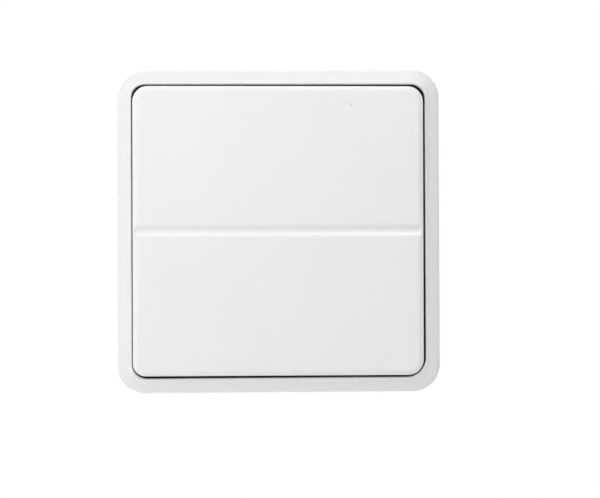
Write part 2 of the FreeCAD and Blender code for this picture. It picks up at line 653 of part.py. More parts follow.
def make_wall_plate():
    """The rear plate: a rim with four spring hooks, screw slots at the wall box pitch, stiffening ribs."""
    body = new_body("wall_plate")
    sketch = new_sketch(body, "plate_outline")
    rounded_rectangle(sketch, PLATE_X, PLATE_Z, PLATE_RADIUS)
    pad(body, "plate_sheet", sketch, "dims.plate_thickness")

    rim_height = f"{PLATE_RIM_FRONT} - ({PLATE_FRONT})"
    sketch = new_sketch(body, "plate_rim_outline", offset=PLATE_FRONT)
    rounded_rectangle(sketch, PLATE_X, PLATE_Z, PLATE_RADIUS)
    rounded_rectangle(sketch, f"{PLATE_X} - dims.plate_rim_wall", f"{PLATE_Z} - dims.plate_rim_wall",
                      f"{PLATE_RADIUS} - dims.plate_rim_wall")
    pad(body, "plate_rim", sketch, rim_height)

    for side, name in zip(SIDES, ("right", "left")):
        hook_middle = signed(side, "dims.hook_pitch / 2")
        sketch = new_sketch(body, f"plate_{name}_hooks_outline", "YZ_Plane", hook_middle)
        for level in SIDES:
            wall = signed(level, f"{PLATE_Z} - dims.plate_rim_wall / 2")
            face = signed(level, PLATE_Z)
            tip = signed(level, f"{PLATE_Z} + dims.barb_reach")
            outline(sketch, [
                (minus(HOOK_REAR), wall), (minus(HOOK_REAR), tip),
                (minus(HOOK_FRONT), face), (minus(HOOK_FRONT), wall),
            ])
        pad(body, f"plate_{name}_hooks", sketch, "dims.hook_length", symmetric=True)

    # slits beside each hook let it bend, and a gap in the lower rim takes the screwdriver
    sketch = new_sketch(body, "plate_slits_outline", offset=PLATE_FRONT)
    for side in SIDES:
        hook_middle = signed(side, "dims.hook_pitch / 2")
        for level in SIDES:
            for end in SIDES:
                along = f"{hook_middle} + {end} * (dims.hook_length + dims.hook_slit) / 2"
                rectangle(sketch, along, signed(level, PLATE_Z), "dims.hook_slit", "4 * dims.plate_rim_wall")
    rectangle(sketch, "0", minus(PLATE_Z), "dims.notch_width", "4 * dims.plate_rim_wall")
    pocket(body, "plate_slits", sketch, rim_height)

    # ribs on the inner face, one at each side of the battery
    sketch = new_sketch(body, "plate_ribs_outline", offset=PLATE_FRONT)
    for side in SIDES:
        rectangle(sketch, signed(side, "dims.plate_rib_pitch / 2"), "0", "dims.plate_rib_thickness",
                  "dims.plate_rib_length")
    pad(body, "plate_ribs", sketch, "dims.plate_rib_height")

    slot = "dims.screw_slot_width"
    run = "(dims.screw_slot_length - dims.screw_slot_width) / 2"
    radius = f"{slot} / 2"
    sketch = new_sketch(body, "plate_slots_outline")
    for side in SIDES:
        place = signed(side, "dims.screw_spacing / 2")
        low, high = f"{place} - {run}", f"{place} + {run}"
        outline(sketch, [
            (low, minus(radius)), (high, minus(radius), radius, 1), (f"{high} + {radius}", "0", radius, 1),
            (high, radius), (low, radius, radius, 1), (f"{low} - {radius}", "0", radius, 1),
        ])
        outline(sketch, [
            (radius, low), (radius, high, radius, 1), ("0", f"{high} + {radius}", radius, 1),
            (minus(radius), high), (minus(radius), low, radius, 1), ("0", f"{low} - {radius}", radius, 1),
        ])
    pocket(body, "plate_slots", sketch, "dims.plate_thickness")
    return body


def make_board():
    body = new_body("circuit_board")
    sketch = new_sketch(body, "board_outline", offset=BOARD_REAR)
    cut_rectangle(sketch, "0", "0", f"2 * ({BOARD_X})", f"2 * ({BOARD_Z})", "dims.board_corner_cut")
    for side in SIDES:
        circle(sketch, signed(side, BOSS_X), signed(side, BOSS_Z), "dims.board_hole_diameter")
    pad(body, "board_sheet", sketch, "dims.board_thickness")
    return body


def make_board_screws():
    """Two screws from the rear of the board into the chassis bosses."""
    shank = "dims.pilot_diameter - 2 * dims.screw_fit"
    head_rear = f"{BOARD_REAR} - dims.screw_head_height"
    screws = []
    for side in SIDES:
        place = (signed(side, BOSS_X), signed(side, BOSS_Z))
        screw = doc.addObject("Part::Fuse", "screw")
        screw.Base = rod("screw_shank", *place, BOARD_REAR, shank, "dims.screw_length")
        screw.Tool = rod("screw_head", *place, head_rear,
                         "dims.screw_head_diameter", "dims.screw_head_height")
        screws.append(screw)
    return group("board_screws", screws)


def make_switch(name, side):
    """One push switch: base with a well, sheet cover, flanged plunger and the oblong snap dome under it."""
    centre = signed(side, "dims.switch_arm")
    base_front = f"{BOARD_FRONT} + dims.switch_base_height"
    well = "dims.flange_size + 2 * dims.well_clearance"
    flange_front = f"{base_front} - dims.plunger_lift_room"
    flange_rear = f"{flange_front} - dims.flange_thickness"
    crown = f"{flange_rear} - dims.dome_gap"
    floor = f"{crown} - dims.dome_rise"

    base = new_body(f"{name}_switch_base")
    sketch = new_sketch(base, f"{name}_base_outline", offset=BOARD_FRONT)
    cut_rectangle(sketch, "0", centre, "dims.switch_size", "dims.switch_size", "dims.switch_corner_cut")
    pad(base, f"{name}_base_block", sketch, "dims.switch_base_height")
    sketch = new_sketch(base, f"{name}_well_outline", offset=base_front)
    rectangle(sketch, "0", centre, well, well)
    pocket(base, f"{name}_well", sketch, f"{base_front} - ({floor})", forward=False)

    cover = new_body(f"{name}_switch_cover")
    sketch = new_sketch(cover, f"{name}_cover_outline", offset=base_front)
    rectangle(sketch, "0", centre, "dims.switch_size", "dims.switch_size - 2 * dims.switch_corner_cut")
    circle(sketch, "0", centre, "dims.plunger_diameter + 2 * dims.plunger_clearance")
    pad(cover, f"{name}_cover_sheet", sketch, "dims.switch_cover_thickness")

    plunger = new_body(f"{name}_switch_plunger")
    sketch = new_sketch(plunger, f"{name}_flange_outline", offset=flange_rear)
    rectangle(sketch, "0", centre, "dims.flange_size", "dims.flange_size")
    pad(plunger, f"{name}_flange", sketch, "dims.flange_thickness")
    sketch = new_sketch(plunger, f"{name}_stem_outline", offset=flange_front)
    circle(sketch, "0", centre, "dims.plunger_diameter")
    pad(plunger, f"{name}_stem", sketch, f"{PLUNGER_TOP} - ({flange_front})")

    dome = new_body(f"{name}_switch_dome")
    rim, top, skin = "dims.flange_size / 2", "dims.dome_crown / 2", "dims.dome_thickness"
    sketch = new_sketch(dome, f"{name}_dome_section", plane="XY_Plane", offset=centre)
    outline(sketch, [
        (minus(rim), minus(floor)), (minus(top), minus(crown)), (top, minus(crown)), (rim, minus(floor)),
        (f"{rim} - 2 * {skin}", minus(floor)), (f"{top} - {skin} / 2", f"{skin} - ({crown})"),
        (f"{skin} / 2 - {top}", f"{skin} - ({crown})"), (f"2 * {skin} - {rim}", minus(floor)),
    ])
    pad(dome, f"{name}_dome_strip", sketch, "dims.dome_width", symmetric=True)
    return [base, cover, plunger, dome]


def make_switch_terminals():
    """The solder feet of both push switches: four bent strips each."""
    feet = []
    half, sheet = "dims.switch_size / 2", "dims.terminal_thickness"
    for level in SIDES:
        for end in SIDES:
            for side in SIDES:
                z = f"{signed(level, 'dims.switch_arm')} + {end} * dims.terminal_pitch / 2"
                leg_x = signed(side, f"{half} + {sheet} / 2")
                foot_x = signed(side, f"{half} + dims.terminal_foot / 2")
                leg = block("terminal_leg", leg_x, z, BOARD_FRONT, sheet, "dims.terminal_width",
                            "dims.terminal_height")
                foot = block("terminal_foot", foot_x, z, BOARD_FRONT, "dims.terminal_foot",
                             "dims.terminal_width", sheet)
                bent = doc.addObject("Part::Fuse", "terminal")
                bent.Base, bent.Tool = leg, foot
                feet.append(bent)
    return group("switch_terminals", feet)


def make_battery():
    """Coin cell in a moulded holder on the rear of the board, with its two spring contacts."""
    well = "dims.cell_diameter + 2 * dims.holder_gap"
    outer = f"{well} + 2 * dims.holder_wall"
    wall_rear = f"{CELL_REAR} + dims.holder_wall_drop"

    holder = new_body("battery_holder")
    sketch = new_sketch(holder, "holder_outline", offset=BOARD_REAR)
    rectangle(sketch, "0", "0", outer, outer)
    pad(holder, "holder_block", sketch, f"{BOARD_REAR} - ({wall_rear})", forward=False)
    sketch = new_sketch(holder, "holder_well_outline", offset=CELL_FRONT)
    circle(sketch, "0", "0", well)
    pocket(holder, "holder_well", sketch, "dims.cell_thickness", forward=False)
    sketch = new_sketch(holder, "holder_finger_outline", offset=CELL_FRONT)
    rectangle(sketch, "0", f"-({outer}) / 2", "dims.finger_notch_width", outer)
    pocket(holder, "holder_finger_notch", sketch, "dims.cell_thickness", forward=False)
    sketch = new_sketch(holder, "holder_window_outline", offset=CELL_FRONT)
    rectangle(sketch, "0", "0", "dims.contact_window", "dims.contact_window")
    pocket(holder, "holder_window", sketch, "dims.holder_floor")

    cell = new_body("coin_cell")
    sketch = new_sketch(cell, "cell_can_outline", offset=CELL_REAR)
    circle(sketch, "0", "0", "dims.cell_diameter")
    pad(cell, "cell_can", sketch, "dims.cell_thickness - dims.cell_cap_height")
    sketch = new_sketch(cell, "cell_cap_outline", offset=f"{CELL_FRONT} - dims.cell_cap_height")
    circle(sketch, "0", "0", "dims.cell_cap_diameter")
    pad(cell, "cell_cap", sketch, "dims.cell_cap_height")

    # positive clip: a strip bridge over the cell, soldered to the board at both ends, dimpled to the cell
    clip = new_body("battery_positive_clip")
    inside = f"({outer}) / 2 + dims.clip_side_gap"
    outside = f"{inside} + dims.clip_thickness"
    dimple, run = "dims.clip_dimple_width / 2", "dims.clip_dimple_run"
    sheet = "dims.clip_thickness"
    board, roof, under, contact = (minus(level) for level in (BOARD_REAR, CLIP_REAR, CLIP_FRONT, CELL_REAR))
    sketch = new_sketch(clip, "clip_section", plane="XY_Plane")
    outline(sketch, [
        (minus(outside), board), (minus(outside), roof), (minus(f"{dimple} + {run}"), roof),
        (minus(dimple), f"{contact} + {sheet}"), (dimple, f"{contact} + {sheet}"),
        (f"{dimple} + {run}", roof), (outside, roof), (outside, board), (inside, board), (inside, under),
        (f"{dimple} + {run}", under), (dimple, contact), (minus(dimple), contact),
        (minus(f"{dimple} + {run}"), under), (minus(inside), under), (minus(inside), board),
    ])
    pad(clip, "clip_strip", sketch, "dims.clip_width", symmetric=True)

    # negative contact: an arched strip in the holder's window, between the board and the cell's cap
    arch = new_body("battery_negative_contact")
    end, foot, crown = "dims.contact_length / 2", "dims.contact_foot", "dims.contact_crown / 2"
    sheet = "dims.contact_thickness"
    board, top = minus(BOARD_REAR), minus(CELL_FRONT)
    bend = f"{end} - {foot}"
    sketch = new_sketch(arch, "contact_section", plane="XY_Plane")
    outline(sketch, [
        (minus(end), board), (minus(end), f"{board} + {sheet}"), (minus(bend), f"{board} + {sheet}"),
        (minus(crown), top), (crown, top), (bend, f"{board} + {sheet}"), (end, f"{board} + {sheet}"),
        (end, board), (bend, board), (crown, f"{top} - {sheet}"), (minus(crown), f"{top} - {sheet}"),
        (minus(bend), board),
    ])
    pad(arch, "contact_strip", sketch, "dims.contact_width", symmetric=True)
    return [holder, cell, clip, arch]


def make_radio():
    """Radio sub-board, its folded shield can and the stamped strip antenna."""
    board = block("radio_board", "dims.radio_x", "0", BOARD_FRONT,
                  "dims.radio_width", "dims.radio_height", "dims.radio_thickness")

    shield = new_body("radio_shield")
    shield_rear = f"{BOARD_FRONT} + dims.radio_thickness"
    sketch = new_sketch(shield, "shield_outline", offset=shield_rear)
    rectangle(sketch, "dims.radio_x", "-dims.shield_offset", "dims.shield_width", "dims.shield_height")
    can = pad(shield, "shield_block", sketch, "dims.shield_depth")
    dress(shield, "Fillet", "shield_edges", can, edges_at_depth(can, f"{shield_rear} + dims.shield_depth"),
          "dims.shield_corner_radius")
    sketch = new_sketch(shield, "shield_hollow_outline", offset=shield_rear)
    rectangle(sketch, "dims.radio_x", "-dims.shield_offset", "dims.shield_width - 2 * dims.shield_wall",
              "dims.shield_height - 2 * dims.shield_wall")
    pocket(shield, "shield_hollow", sketch, "dims.shield_depth - dims.shield_corner_radius")

    strip = new_body("antenna")
    sheet, left, right = "dims.antenna_thickness", "dims.antenna_left", "dims.antenna_right"
    foot = minus(BOARD_FRONT)
    level = f"{foot} - dims.antenna_height"
    sketch = new_sketch(strip, "antenna_section", plane="XY_Plane", offset="dims.antenna_z")
    outline(sketch, [
        (left, foot), (left, level), (right, level), (right, foot),
        (f"{right} - {sheet}", foot), (f"{right} - {sheet}", f"{level} + {sheet}"),
        (f"{left} + {sheet}", f"{level} + {sheet}"), (f"{left} + {sheet}", foot),
    ])
    pad(strip, "antenna_strip", sketch, "dims.antenna_width", symmetric=True)
    return [board, shield, strip]


def make_small_parts():
    """Controller, crystal, lamp, setup button and the rows of chip parts."""
    controller = block("microcontroller", "dims.controller_x", "dims.controller_z", BOARD_FRONT,
                       "dims.controller_size", "dims.controller_size", "dims.controller_thickness")

    crystal = new_body("crystal")
    sketch = new_sketch(crystal, "crystal_outline", offset=BOARD_FRONT)
    rectangle(sketch, "dims.crystal_x", "dims.crystal_z", "dims.crystal_width", "dims.crystal_height")
    can = pad(crystal, "crystal_can", sketch, "dims.crystal_thickness")
    top = edges_at_depth(can, f"{BOARD_FRONT} + dims.crystal_thickness")
    dress(crystal, "Chamfer", "crystal_rim", can, top, "dims.crystal_rim_bevel")

    lamp = new_body("status_led")
    sketch = new_sketch(lamp, "led_outline", offset=BOARD_FRONT)
    rectangle(sketch, "dims.led_x", "dims.led_z", "dims.led_width", "dims.led_height")
    pad(lamp, "led_base", sketch, "dims.led_thickness")
    lens_rear = f"{BOARD_FRONT} + dims.led_thickness"
    sketch = new_sketch(lamp, "led_lens_outline", offset=lens_rear)
    rectangle(sketch, "dims.led_x", "dims.led_z", "dims.led_lens_size", "dims.led_lens_size")
    lens = pad(lamp, "led_lens", sketch, "dims.led_lens_height")
    top = edges_at_depth(lens, f"{lens_rear} + dims.led_lens_height")
    dress(lamp, "Chamfer", "led_lens_edge", lens, top, "dims.led_lens_bevel")

    base = new_body("setup_button_base")
    base_front = f"{BOARD_FRONT} + dims.setup_base_height"
    sketch = new_sketch(base, "setup_base_outline", offset=BOARD_FRONT)
    rectangle(sketch, "dims.setup_x", "dims.setup_z", "dims.setup_size", "dims.setup_size")
    pad(base, "setup_base_block", sketch, "dims.setup_base_height")
    well = "dims.setup_cap_size + 2 * dims.setup_cap_clearance"
    sketch = new_sketch(base, "setup_well_outline", offset=base_front)
    rectangle(sketch, "dims.setup_x", "dims.setup_z", well, well)
    pocket(base, "setup_well", sketch, "dims.setup_well_depth", forward=False)
    cap_rear = f"{base_front} - dims.setup_well_depth + dims.setup_travel_room"
    cap = block("setup_button_cap", "dims.setup_x", "dims.setup_z", cap_rear,
                "dims.setup_cap_size", "dims.setup_cap_size", "dims.setup_cap_height")

    chips = []
    for column in range(CHIP_COLUMNS):
        for row in range(CHIP_ROWS):
            x = f"dims.chip_row_x - {column} * (dims.chip_length + dims.chip_pitch / 2)"
            z = f"-dims.chip_row_z - {row} * dims.chip_pitch"
            chips.append(block("chip", x, z, BOARD_FRONT, "dims.chip_length", "dims.chip_width",
                               "dims.chip_thickness"))
    return [controller, crystal, lamp, base, cap, group("chip_passives", chips)]


nodes = [make_frame(), make_rocker(), make_chassis(), make_wall_plate(), make_board(), make_board_screws()]
nodes += make_switch("upper", 1) + make_switch("lower", -1) + [make_switch_terminals()]
nodes += make_battery() + make_radio() + make_small_parts()

doc.recompute()
for item in doc.Objects:
    if "Invalid" in item.State or "Error" in item.State:
        raise RuntimeError(f"{item.Label} did not build: {item.State}")
for node in nodes:
    if node.Shape.isNull() or not node.Shape.isValid():
        raise RuntimeError(f"{node.Label} has no valid shape")

os.makedirs("parts", exist_ok=True)
for node in nodes:
    node.Shape.exportStep(f"parts/{node.Label}.step")
    print(node.Label, len(node.Shape.Solids), "solid(s)", round(node.Shape.Volume, 2), "mm3")
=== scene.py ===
import math

import bpy
import bmesh
from mathutils import Matrix, Vector


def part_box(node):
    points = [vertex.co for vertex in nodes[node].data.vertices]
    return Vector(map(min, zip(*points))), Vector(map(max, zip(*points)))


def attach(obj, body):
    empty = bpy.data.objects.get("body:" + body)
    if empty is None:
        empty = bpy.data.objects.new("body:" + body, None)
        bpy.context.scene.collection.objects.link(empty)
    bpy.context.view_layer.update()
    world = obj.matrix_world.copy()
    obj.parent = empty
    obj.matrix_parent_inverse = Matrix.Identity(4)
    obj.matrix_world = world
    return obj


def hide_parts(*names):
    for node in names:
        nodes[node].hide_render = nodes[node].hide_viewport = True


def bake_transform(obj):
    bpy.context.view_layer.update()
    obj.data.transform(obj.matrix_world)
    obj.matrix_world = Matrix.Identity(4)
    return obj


# Looks of a wireless wall switch: frame, rocker and wall plate as smooth moulded shells, every inner part dressed.
# Metres throughout, X right, Z up, the rocker faces -Y; "depth" is the distance from the wall, so depth = -Y.

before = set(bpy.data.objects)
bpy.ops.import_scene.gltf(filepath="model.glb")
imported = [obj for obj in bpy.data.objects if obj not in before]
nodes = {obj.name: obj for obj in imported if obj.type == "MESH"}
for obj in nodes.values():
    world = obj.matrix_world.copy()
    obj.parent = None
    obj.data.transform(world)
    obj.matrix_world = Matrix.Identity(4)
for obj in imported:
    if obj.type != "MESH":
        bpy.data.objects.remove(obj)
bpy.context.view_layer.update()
scene = bpy.context.scene
mm = 0.001
print("loaded", len(nodes), "nodes")


# mesh helpers

meshHabits = {
    "sharpAngle": math.radians(35),    # an edge that turns more than this stays crisp in the shading
    "softAngle": math.radians(40),    # an edge that turns more than this is rounded by softenEdges
    "softSteps": 2,
    "faceWeight": 100,
    "mergeReach": 0.001 * mm,
}


def smoothFaces(mesh):
    for polygon in mesh.polygons:
        polygon.use_smooth = True
    mesh.set_sharp_from_angle(angle=meshHabits["sharpAngle"])


def finishMesh(name, bm):
    mesh = bpy.data.meshes.new(name)
    bm.to_mesh(mesh)
    bm.free()
    smoothFaces(mesh)
    piece = bpy.data.objects.new(name, mesh)
    scene.collection.objects.link(piece)
    return piece


def mergedCopy(node):
    # a solid's own triangles, joined at their shared corners
    bm = bmesh.new()
    bm.from_mesh(nodes[node].data)
    bmesh.ops.remove_doubles(bm, verts=bm.verts, dist=meshHabits["mergeReach"])
    return bm


def bakeModifiers(piece):
    # swaps the mesh for its evaluated copy and drops the modifiers
    graph = bpy.context.evaluated_depsgraph_get()
    baked = bpy.data.meshes.new_from_object(piece.evaluated_get(graph))
    old = piece.data
    piece.modifiers.clear()
    piece.data = baked
    baked.name = piece.name
    bpy.data.meshes.remove(old)


def softenEdges(piece, width, clamp=True):
    edge = piece.modifiers.new("soft edges", "BEVEL")
    edge.width = width
    edge.segments = meshHabits["softSteps"]
    edge.limit_method = "ANGLE"
    edge.angle_limit = meshHabits["softAngle"]
    edge.use_clamp_overlap = clamp


def steadyNormals(piece):
    # large flat faces keep their own shading beside the small rounds
    smoothFaces(piece.data)
    weighted = piece.modifiers.new("flat faces stay flat", "WEIGHTED_NORMAL")
    weighted.keep_sharp = True
    weighted.weight = meshHabits["faceWeight"]
    bakeModifiers(piece)


def roundedLoop(halfX, halfZ, radius, depth, cornerSteps, levels):
    # one closed outline seen from the front, with one corner radius or four of them (upper right, upper left,
    # lower left, lower right); both upright sides carry the same levels of z
    points = []
    radii = radius if isinstance(radius, tuple) else (radius,) * 4
    points += [(halfX, z) for z in levels]
    for turn, (signX, signZ) in enumerate(((1, 1), (-1, 1), (-1, -1), (1, -1))):
        size = radii[turn]
        for step in range(cornerSteps + 1):
            angle = math.pi / 2 * (turn + step / cornerSteps)
            points.append((signX * (halfX - size) + size * math.cos(angle),
                           signZ * (halfZ - size) + size * math.sin(angle)))
        if turn == 1:
            points += [(-halfX, z) for z in reversed(levels)]
    return [Vector((x, -depth, z)) for x, z in points]


def grown(radii, step):
    return tuple(radius + step for radius in radii)


def skinLoops(bm, loops, closed=False):
    rings = [[bm.verts.new(point) for point in loop] for loop in loops]
    pairs = list(zip(rings, rings[1:]))
    if closed:
        pairs.append((rings[-1], rings[0]))
    for lower, upper in pairs:
        count = len(lower)
        for index in range(count):
            after = (index + 1) % count
            bm.faces.new((lower[index], lower[after], upper[after], upper[index]))
    return rings


def boxMesh(name, low, high):
    bm = bmesh.new()
    bmesh.ops.create_cube(bm, size=1)
    for vert in bm.verts:
        vert.co = Vector([low[k] if vert.co[k] < 0 else high[k] for k in range(3)])
    return finishMesh(name, bm)


def boolean(piece, tool, operation):
    step = piece.modifiers.new(operation.lower(), "BOOLEAN")
    step.operation = operation
    step.solver = "EXACT"
    step.object = tool
    bakeModifiers(piece)
    bpy.data.objects.remove(tool)


# frame: upright walls, ring that slopes away from the opening, thin lip round the rocker with a steeper flank

frameForm = {
    "cornerRadius": 6.5 * mm,
    "rearBreak": 0.15 * mm,
    "shoulderRound": 0.9 * mm,
    "ringSlope": math.atan2(1, 3),
    "openingHalf": 34.0 * mm,
    "openingPlay": 0.08 * mm,    # the opening is this much wider to the right, as the gap in the photo shows
    "openingCorner": (3.3 * mm, 3.1 * mm, 3.5 * mm, 4.5 * mm),
    "lipRound": 0.25 * mm,
    "lipRun": 1.0 * mm,
    "lipSlope": math.radians(30),
    "lipBlend": 0.1 * mm,
    "lipDepth": 1.2 * mm,
    "cavityHalf": 35.3 * mm,
    "cavityCorner": 4.3 * mm,
    "cornerSteps": 20,
    "arcSteps": 9,
    "barbRecess": {"length": 10.3 * mm, "rear": 8.45 * mm, "front": 10.35 * mm, "reach": 35.85 * mm},
    "hookRecess": {"length": 10.3 * mm, "rear": 4.05 * mm, "front": 5.95 * mm, "reach": 35.75 * mm, "pitch": 36 * mm},
    "notch": {"width": 8 * mm, "height": 1.6 * mm, "reach": 4 * mm},
    "cutSpare": 1 * mm,    # how far a cut stands out of the wall that it goes into
}


def frameSection(half, rear, front):
    # half width, corner radius and depth of each loop: up the outside, over the lip, down the cavity
    form = frameForm
    corner, rearBreak, roundSize = form["cornerRadius"], form["rearBreak"], form["shoulderRound"]
    opening, lip, flank, foot = (form[key] for key in ("openingHalf", "lipRound", "lipSlope", "lipRun"))
    ringRise, flankRise = math.tan(form["ringSlope"]), math.tan(flank)
    footFall = lip * (1 - math.cos(flank)) + (foot - lip * (1 + math.sin(flank))) * flankRise
    shoulderDepth = front - footFall - (half - opening - foot) * ringRise
    turn = math.pi / 2 - form["ringSlope"]
    arcStart = shoulderDepth - roundSize * math.tan(turn / 2)
    outside = [(half - rearBreak, corner - rearBreak, rear), (half, corner, rear + rearBreak)]
    for step in range(form["arcSteps"] + 1):
        angle = turn * step / form["arcSteps"]
        inset = roundSize * (1 - math.cos(angle))
        outside.append((half - inset, corner - inset, arcStart + roundSize * math.sin(angle)))
    # the foot of the lip's flank is blended into the ring, its top is an arc down to the opening's wall
    blend = form["lipBlend"]
    outer, inner = footFall + blend * ringRise, footFall - blend * flankRise
    rise = [(foot + blend, outer), (foot, (outer + 2 * footFall + inner) / 4), (foot - blend, inner)]
    for step in range(form["arcSteps"] + 1):
        angle = (math.pi / 2 + flank) * step / form["arcSteps"] - flank
        rise.append((lip * (1 - math.sin(angle)), lip * (1 - math.cos(angle))))
    lipRear = front - form["lipDepth"]
    overLip = [(opening + away, grown(form["openingCorner"], away), front - fall) for away, fall in rise]
    overLip.append((opening, form["openingCorner"], lipRear))
    cavity = [(form["cavityHalf"], form["cavityCorner"], depth) for depth in (lipRear, rear)]
    return outside, overLip, cavity


def frameCuts(rear):
    # recesses for the snaps inside the walls, and the notch where a screwdriver goes in below
    form = frameForm
    barb, hook, notch, spare = (form[key] for key in ("barbRecess", "hookRecess", "notch", "cutSpare"))
    inside, outside = form["cavityHalf"] - spare, form["cavityHalf"] + notch["reach"]
    cuts = []
    for side in (-1, 1):
        ends = sorted((side * inside, side * barb["reach"]))
        cuts.append(((ends[0], -barb["front"], -barb["length"] / 2), (ends[1], -barb["rear"], barb["length"] / 2)))
        for level in (-1, 1):
            ends = sorted((level * inside, level * hook["reach"]))
            middle = side * hook["pitch"] / 2
            cuts.append(((middle - hook["length"] / 2, -hook["front"], ends[0]),
                         (middle + hook["length"] / 2, -hook["rear"], ends[1])))
    cuts.append(((-notch["width"] / 2, -rear - notch["height"], -outside), (notch["width"] / 2, spare, -inside)))
    return cuts


def makeFrame():
    form = frameForm
    low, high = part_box("frame")
    rear = -high.y
    outside, overLip, cavity = frameSection(high.x, rear, -low.y)
    loops = [roundedLoop(size, size, radius, depth, form["cornerSteps"], ())
             for size, radius, depth in outside + overLip + cavity]
    for loop in loops[len(outside):-len(cavity)]:
        for point in loop:
            if point.x > 0:
                point.x += form["openingPlay"]
    bm = bmesh.new()
    skinLoops(bm, loops, closed=True)
    bmesh.ops.recalc_face_normals(bm, faces=bm.faces)
    piece = finishMesh("frame_shell", bm)
    for cutLow, cutHigh in frameCuts(rear):
        boolean(piece, boxMesh("cut", cutLow, cutHigh), "DIFFERENCE")
    steadyNormals(piece)
    return piece


# rocker: crowned edge all round, soft groove across the middle that rises to meet the edge at both ends

rockerForm = {
    "cornerRadius": (3.6 * mm, 3.6 * mm, 2.95 * mm, 3.6 * mm),
    "bevelTilt": math.radians(25),
    "bevelRun": 0.35 * mm,
    "faceBlend": 2.0 * mm,
    "sideRound": 0.4 * mm,
    "skin": 1.8 * mm,
    "skirtDepth": 6.4 * mm,
    "skirtWall": 1.5 * mm,
    "grooveHalf": 1.6 * mm,
    "grooveFlank": math.radians(28),
    "grooveFloor": 1.25 * mm,
    "grooveShoulder": 1.2 * mm,
    "grooveSteps": 40,
    "grooveSpare": 1.05,    # the fine strips reach this many times the groove's half width
    "grooveEnd": (0.2 * mm, 1.0 * mm),    # distance from the edge over which the groove reaches its depth
    "blend": 0.08 * mm,
    "cornerSteps": 16,
    "edgeSteps": 8,
    "shellPart": 0.6,    # share of each wall that the smooth shell fills, the rest comes with the inner ribs
    "overlap": 0.15,    # share of each wall that both fill
    "postRoom": 4 * mm,    # the inner pieces may stand this far behind the skirt
    "seat": (-0.09 * mm, 0.05 * mm),    # the plate sits this far off the middle of its opening in x and z,
    "seatTurn": math.radians(0.08),    # and this far turned, as the gap in the photo shows
}


def grooveDepth(z):
    form = rockerForm
    flank, floor, shoulder = form["grooveFlank"], form["grooveFloor"], form["grooveShoulder"]
    away = abs(z)
    top = form["grooveHalf"] - shoulder * math.sin(flank)
    foot = floor * math.sin(flank)
    if away >= form["grooveHalf"]:
        return 0.0
    if away > top:
        return shoulder - math.sqrt(shoulder ** 2 - (form["grooveHalf"] - away) ** 2)
    topDepth = shoulder * (1 - math.cos(flank))
    if away > foot:
        return topDepth + (top - away) * math.tan(flank)
    footDepth = topDepth + (top - foot) * math.tan(flank)
    return footDepth + math.sqrt(floor ** 2 - away ** 2) - floor * math.cos(flank)


def deeper(first, second, blend):
    # the greater of two depths, with a small fillet where they cross
    gap = max(blend - abs(first - second), 0) / blend
    return max(first, second) + gap * gap * blend / 4


def edgeProfile():
    # from the upright side over a small round and a soft bevel to the face: distance inwards, fall below the face
    form = rockerForm
    tilt, run, side, blend = (form[key] for key in ("bevelTilt", "bevelRun", "sideRound", "faceBlend"))
    bevelFall = blend * (1 - math.cos(tilt)) + run * math.tan(tilt)
    bevelStart = side * (1 - math.sin(tilt))
    points = []
    for step in range(form["edgeSteps"] + 1):
        angle = math.pi / 2 + (tilt - math.pi / 2) * step / form["edgeSteps"]
        points.append((side * (1 - math.sin(angle)), bevelFall + side * (math.cos(tilt) - math.cos(angle))))
    for step in range(form["edgeSteps"] + 1):
        angle = tilt * (1 - step / form["edgeSteps"])
        points.append((bevelStart + run + blend * (math.sin(tilt) - math.sin(angle)), blend * (1 - math.cos(angle))))
    return points


def sinkGroove(loop, inset, fall, front):
    # lowers the points over the groove, by less where the loop is near the edge
    form = rockerForm
    endStart, endStop = form["grooveEnd"]
    share = min(max((inset - endStart) / (endStop - endStart), 0), 1)
    for point in loop:
        groove = grooveDepth(point.z) * share * share * (3 - 2 * share)
        if groove > 0:
            point.y = deeper(fall, groove, form["blend"]) - front


def seatLoop(loop):
    turn, (moveX, moveZ) = rockerForm["seatTurn"], rockerForm["seat"]
    for point in loop:
        point.x, point.z = point.x + turn * point.z + moveX, point.z - turn * point.x + moveZ


def closeFront(bm, ring, levelCount, cornerSteps):
    # the face inside the edge round: strips across the groove, one plain field above and one below it
    right = ring[:levelCount]
    leftStart = levelCount + 2 * (cornerSteps + 1)
    left = ring[leftStart:leftStart + levelCount][::-1]
    for index in range(levelCount - 1):
        bm.faces.new((right[index], right[index + 1], left[index + 1], left[index]))
    bm.faces.new([right[-1]] + ring[levelCount:leftStart] + [left[-1]])
    bm.faces.new([left[0]] + ring[leftStart + levelCount:] + [right[0]])


def rockerInside(halfX, halfZ, front, skirtRear):
    # ribs, ears, pins and press posts: the solid itself, clipped a little inside the shell's outer faces
    form = rockerForm
    clip = form["shellPart"] - form["overlap"]
    inset = form["skirtWall"] * clip
    piece = finishMesh("rocker_inside", mergedCopy("rocker"))
    core = bmesh.new()
    corner = grown(form["cornerRadius"], -inset)
    loops = [roundedLoop(halfX - inset, halfZ - inset, corner, depth, form["cornerSteps"], ())
             for depth in (skirtRear - form["postRoom"], front - form["skin"] * clip)]
    for ring in skinLoops(core, loops):
        core.faces.new(ring)
    bmesh.ops.recalc_face_normals(core, faces=core.faces)
    boolean(piece, finishMesh("core", core), "INTERSECT")
    return piece


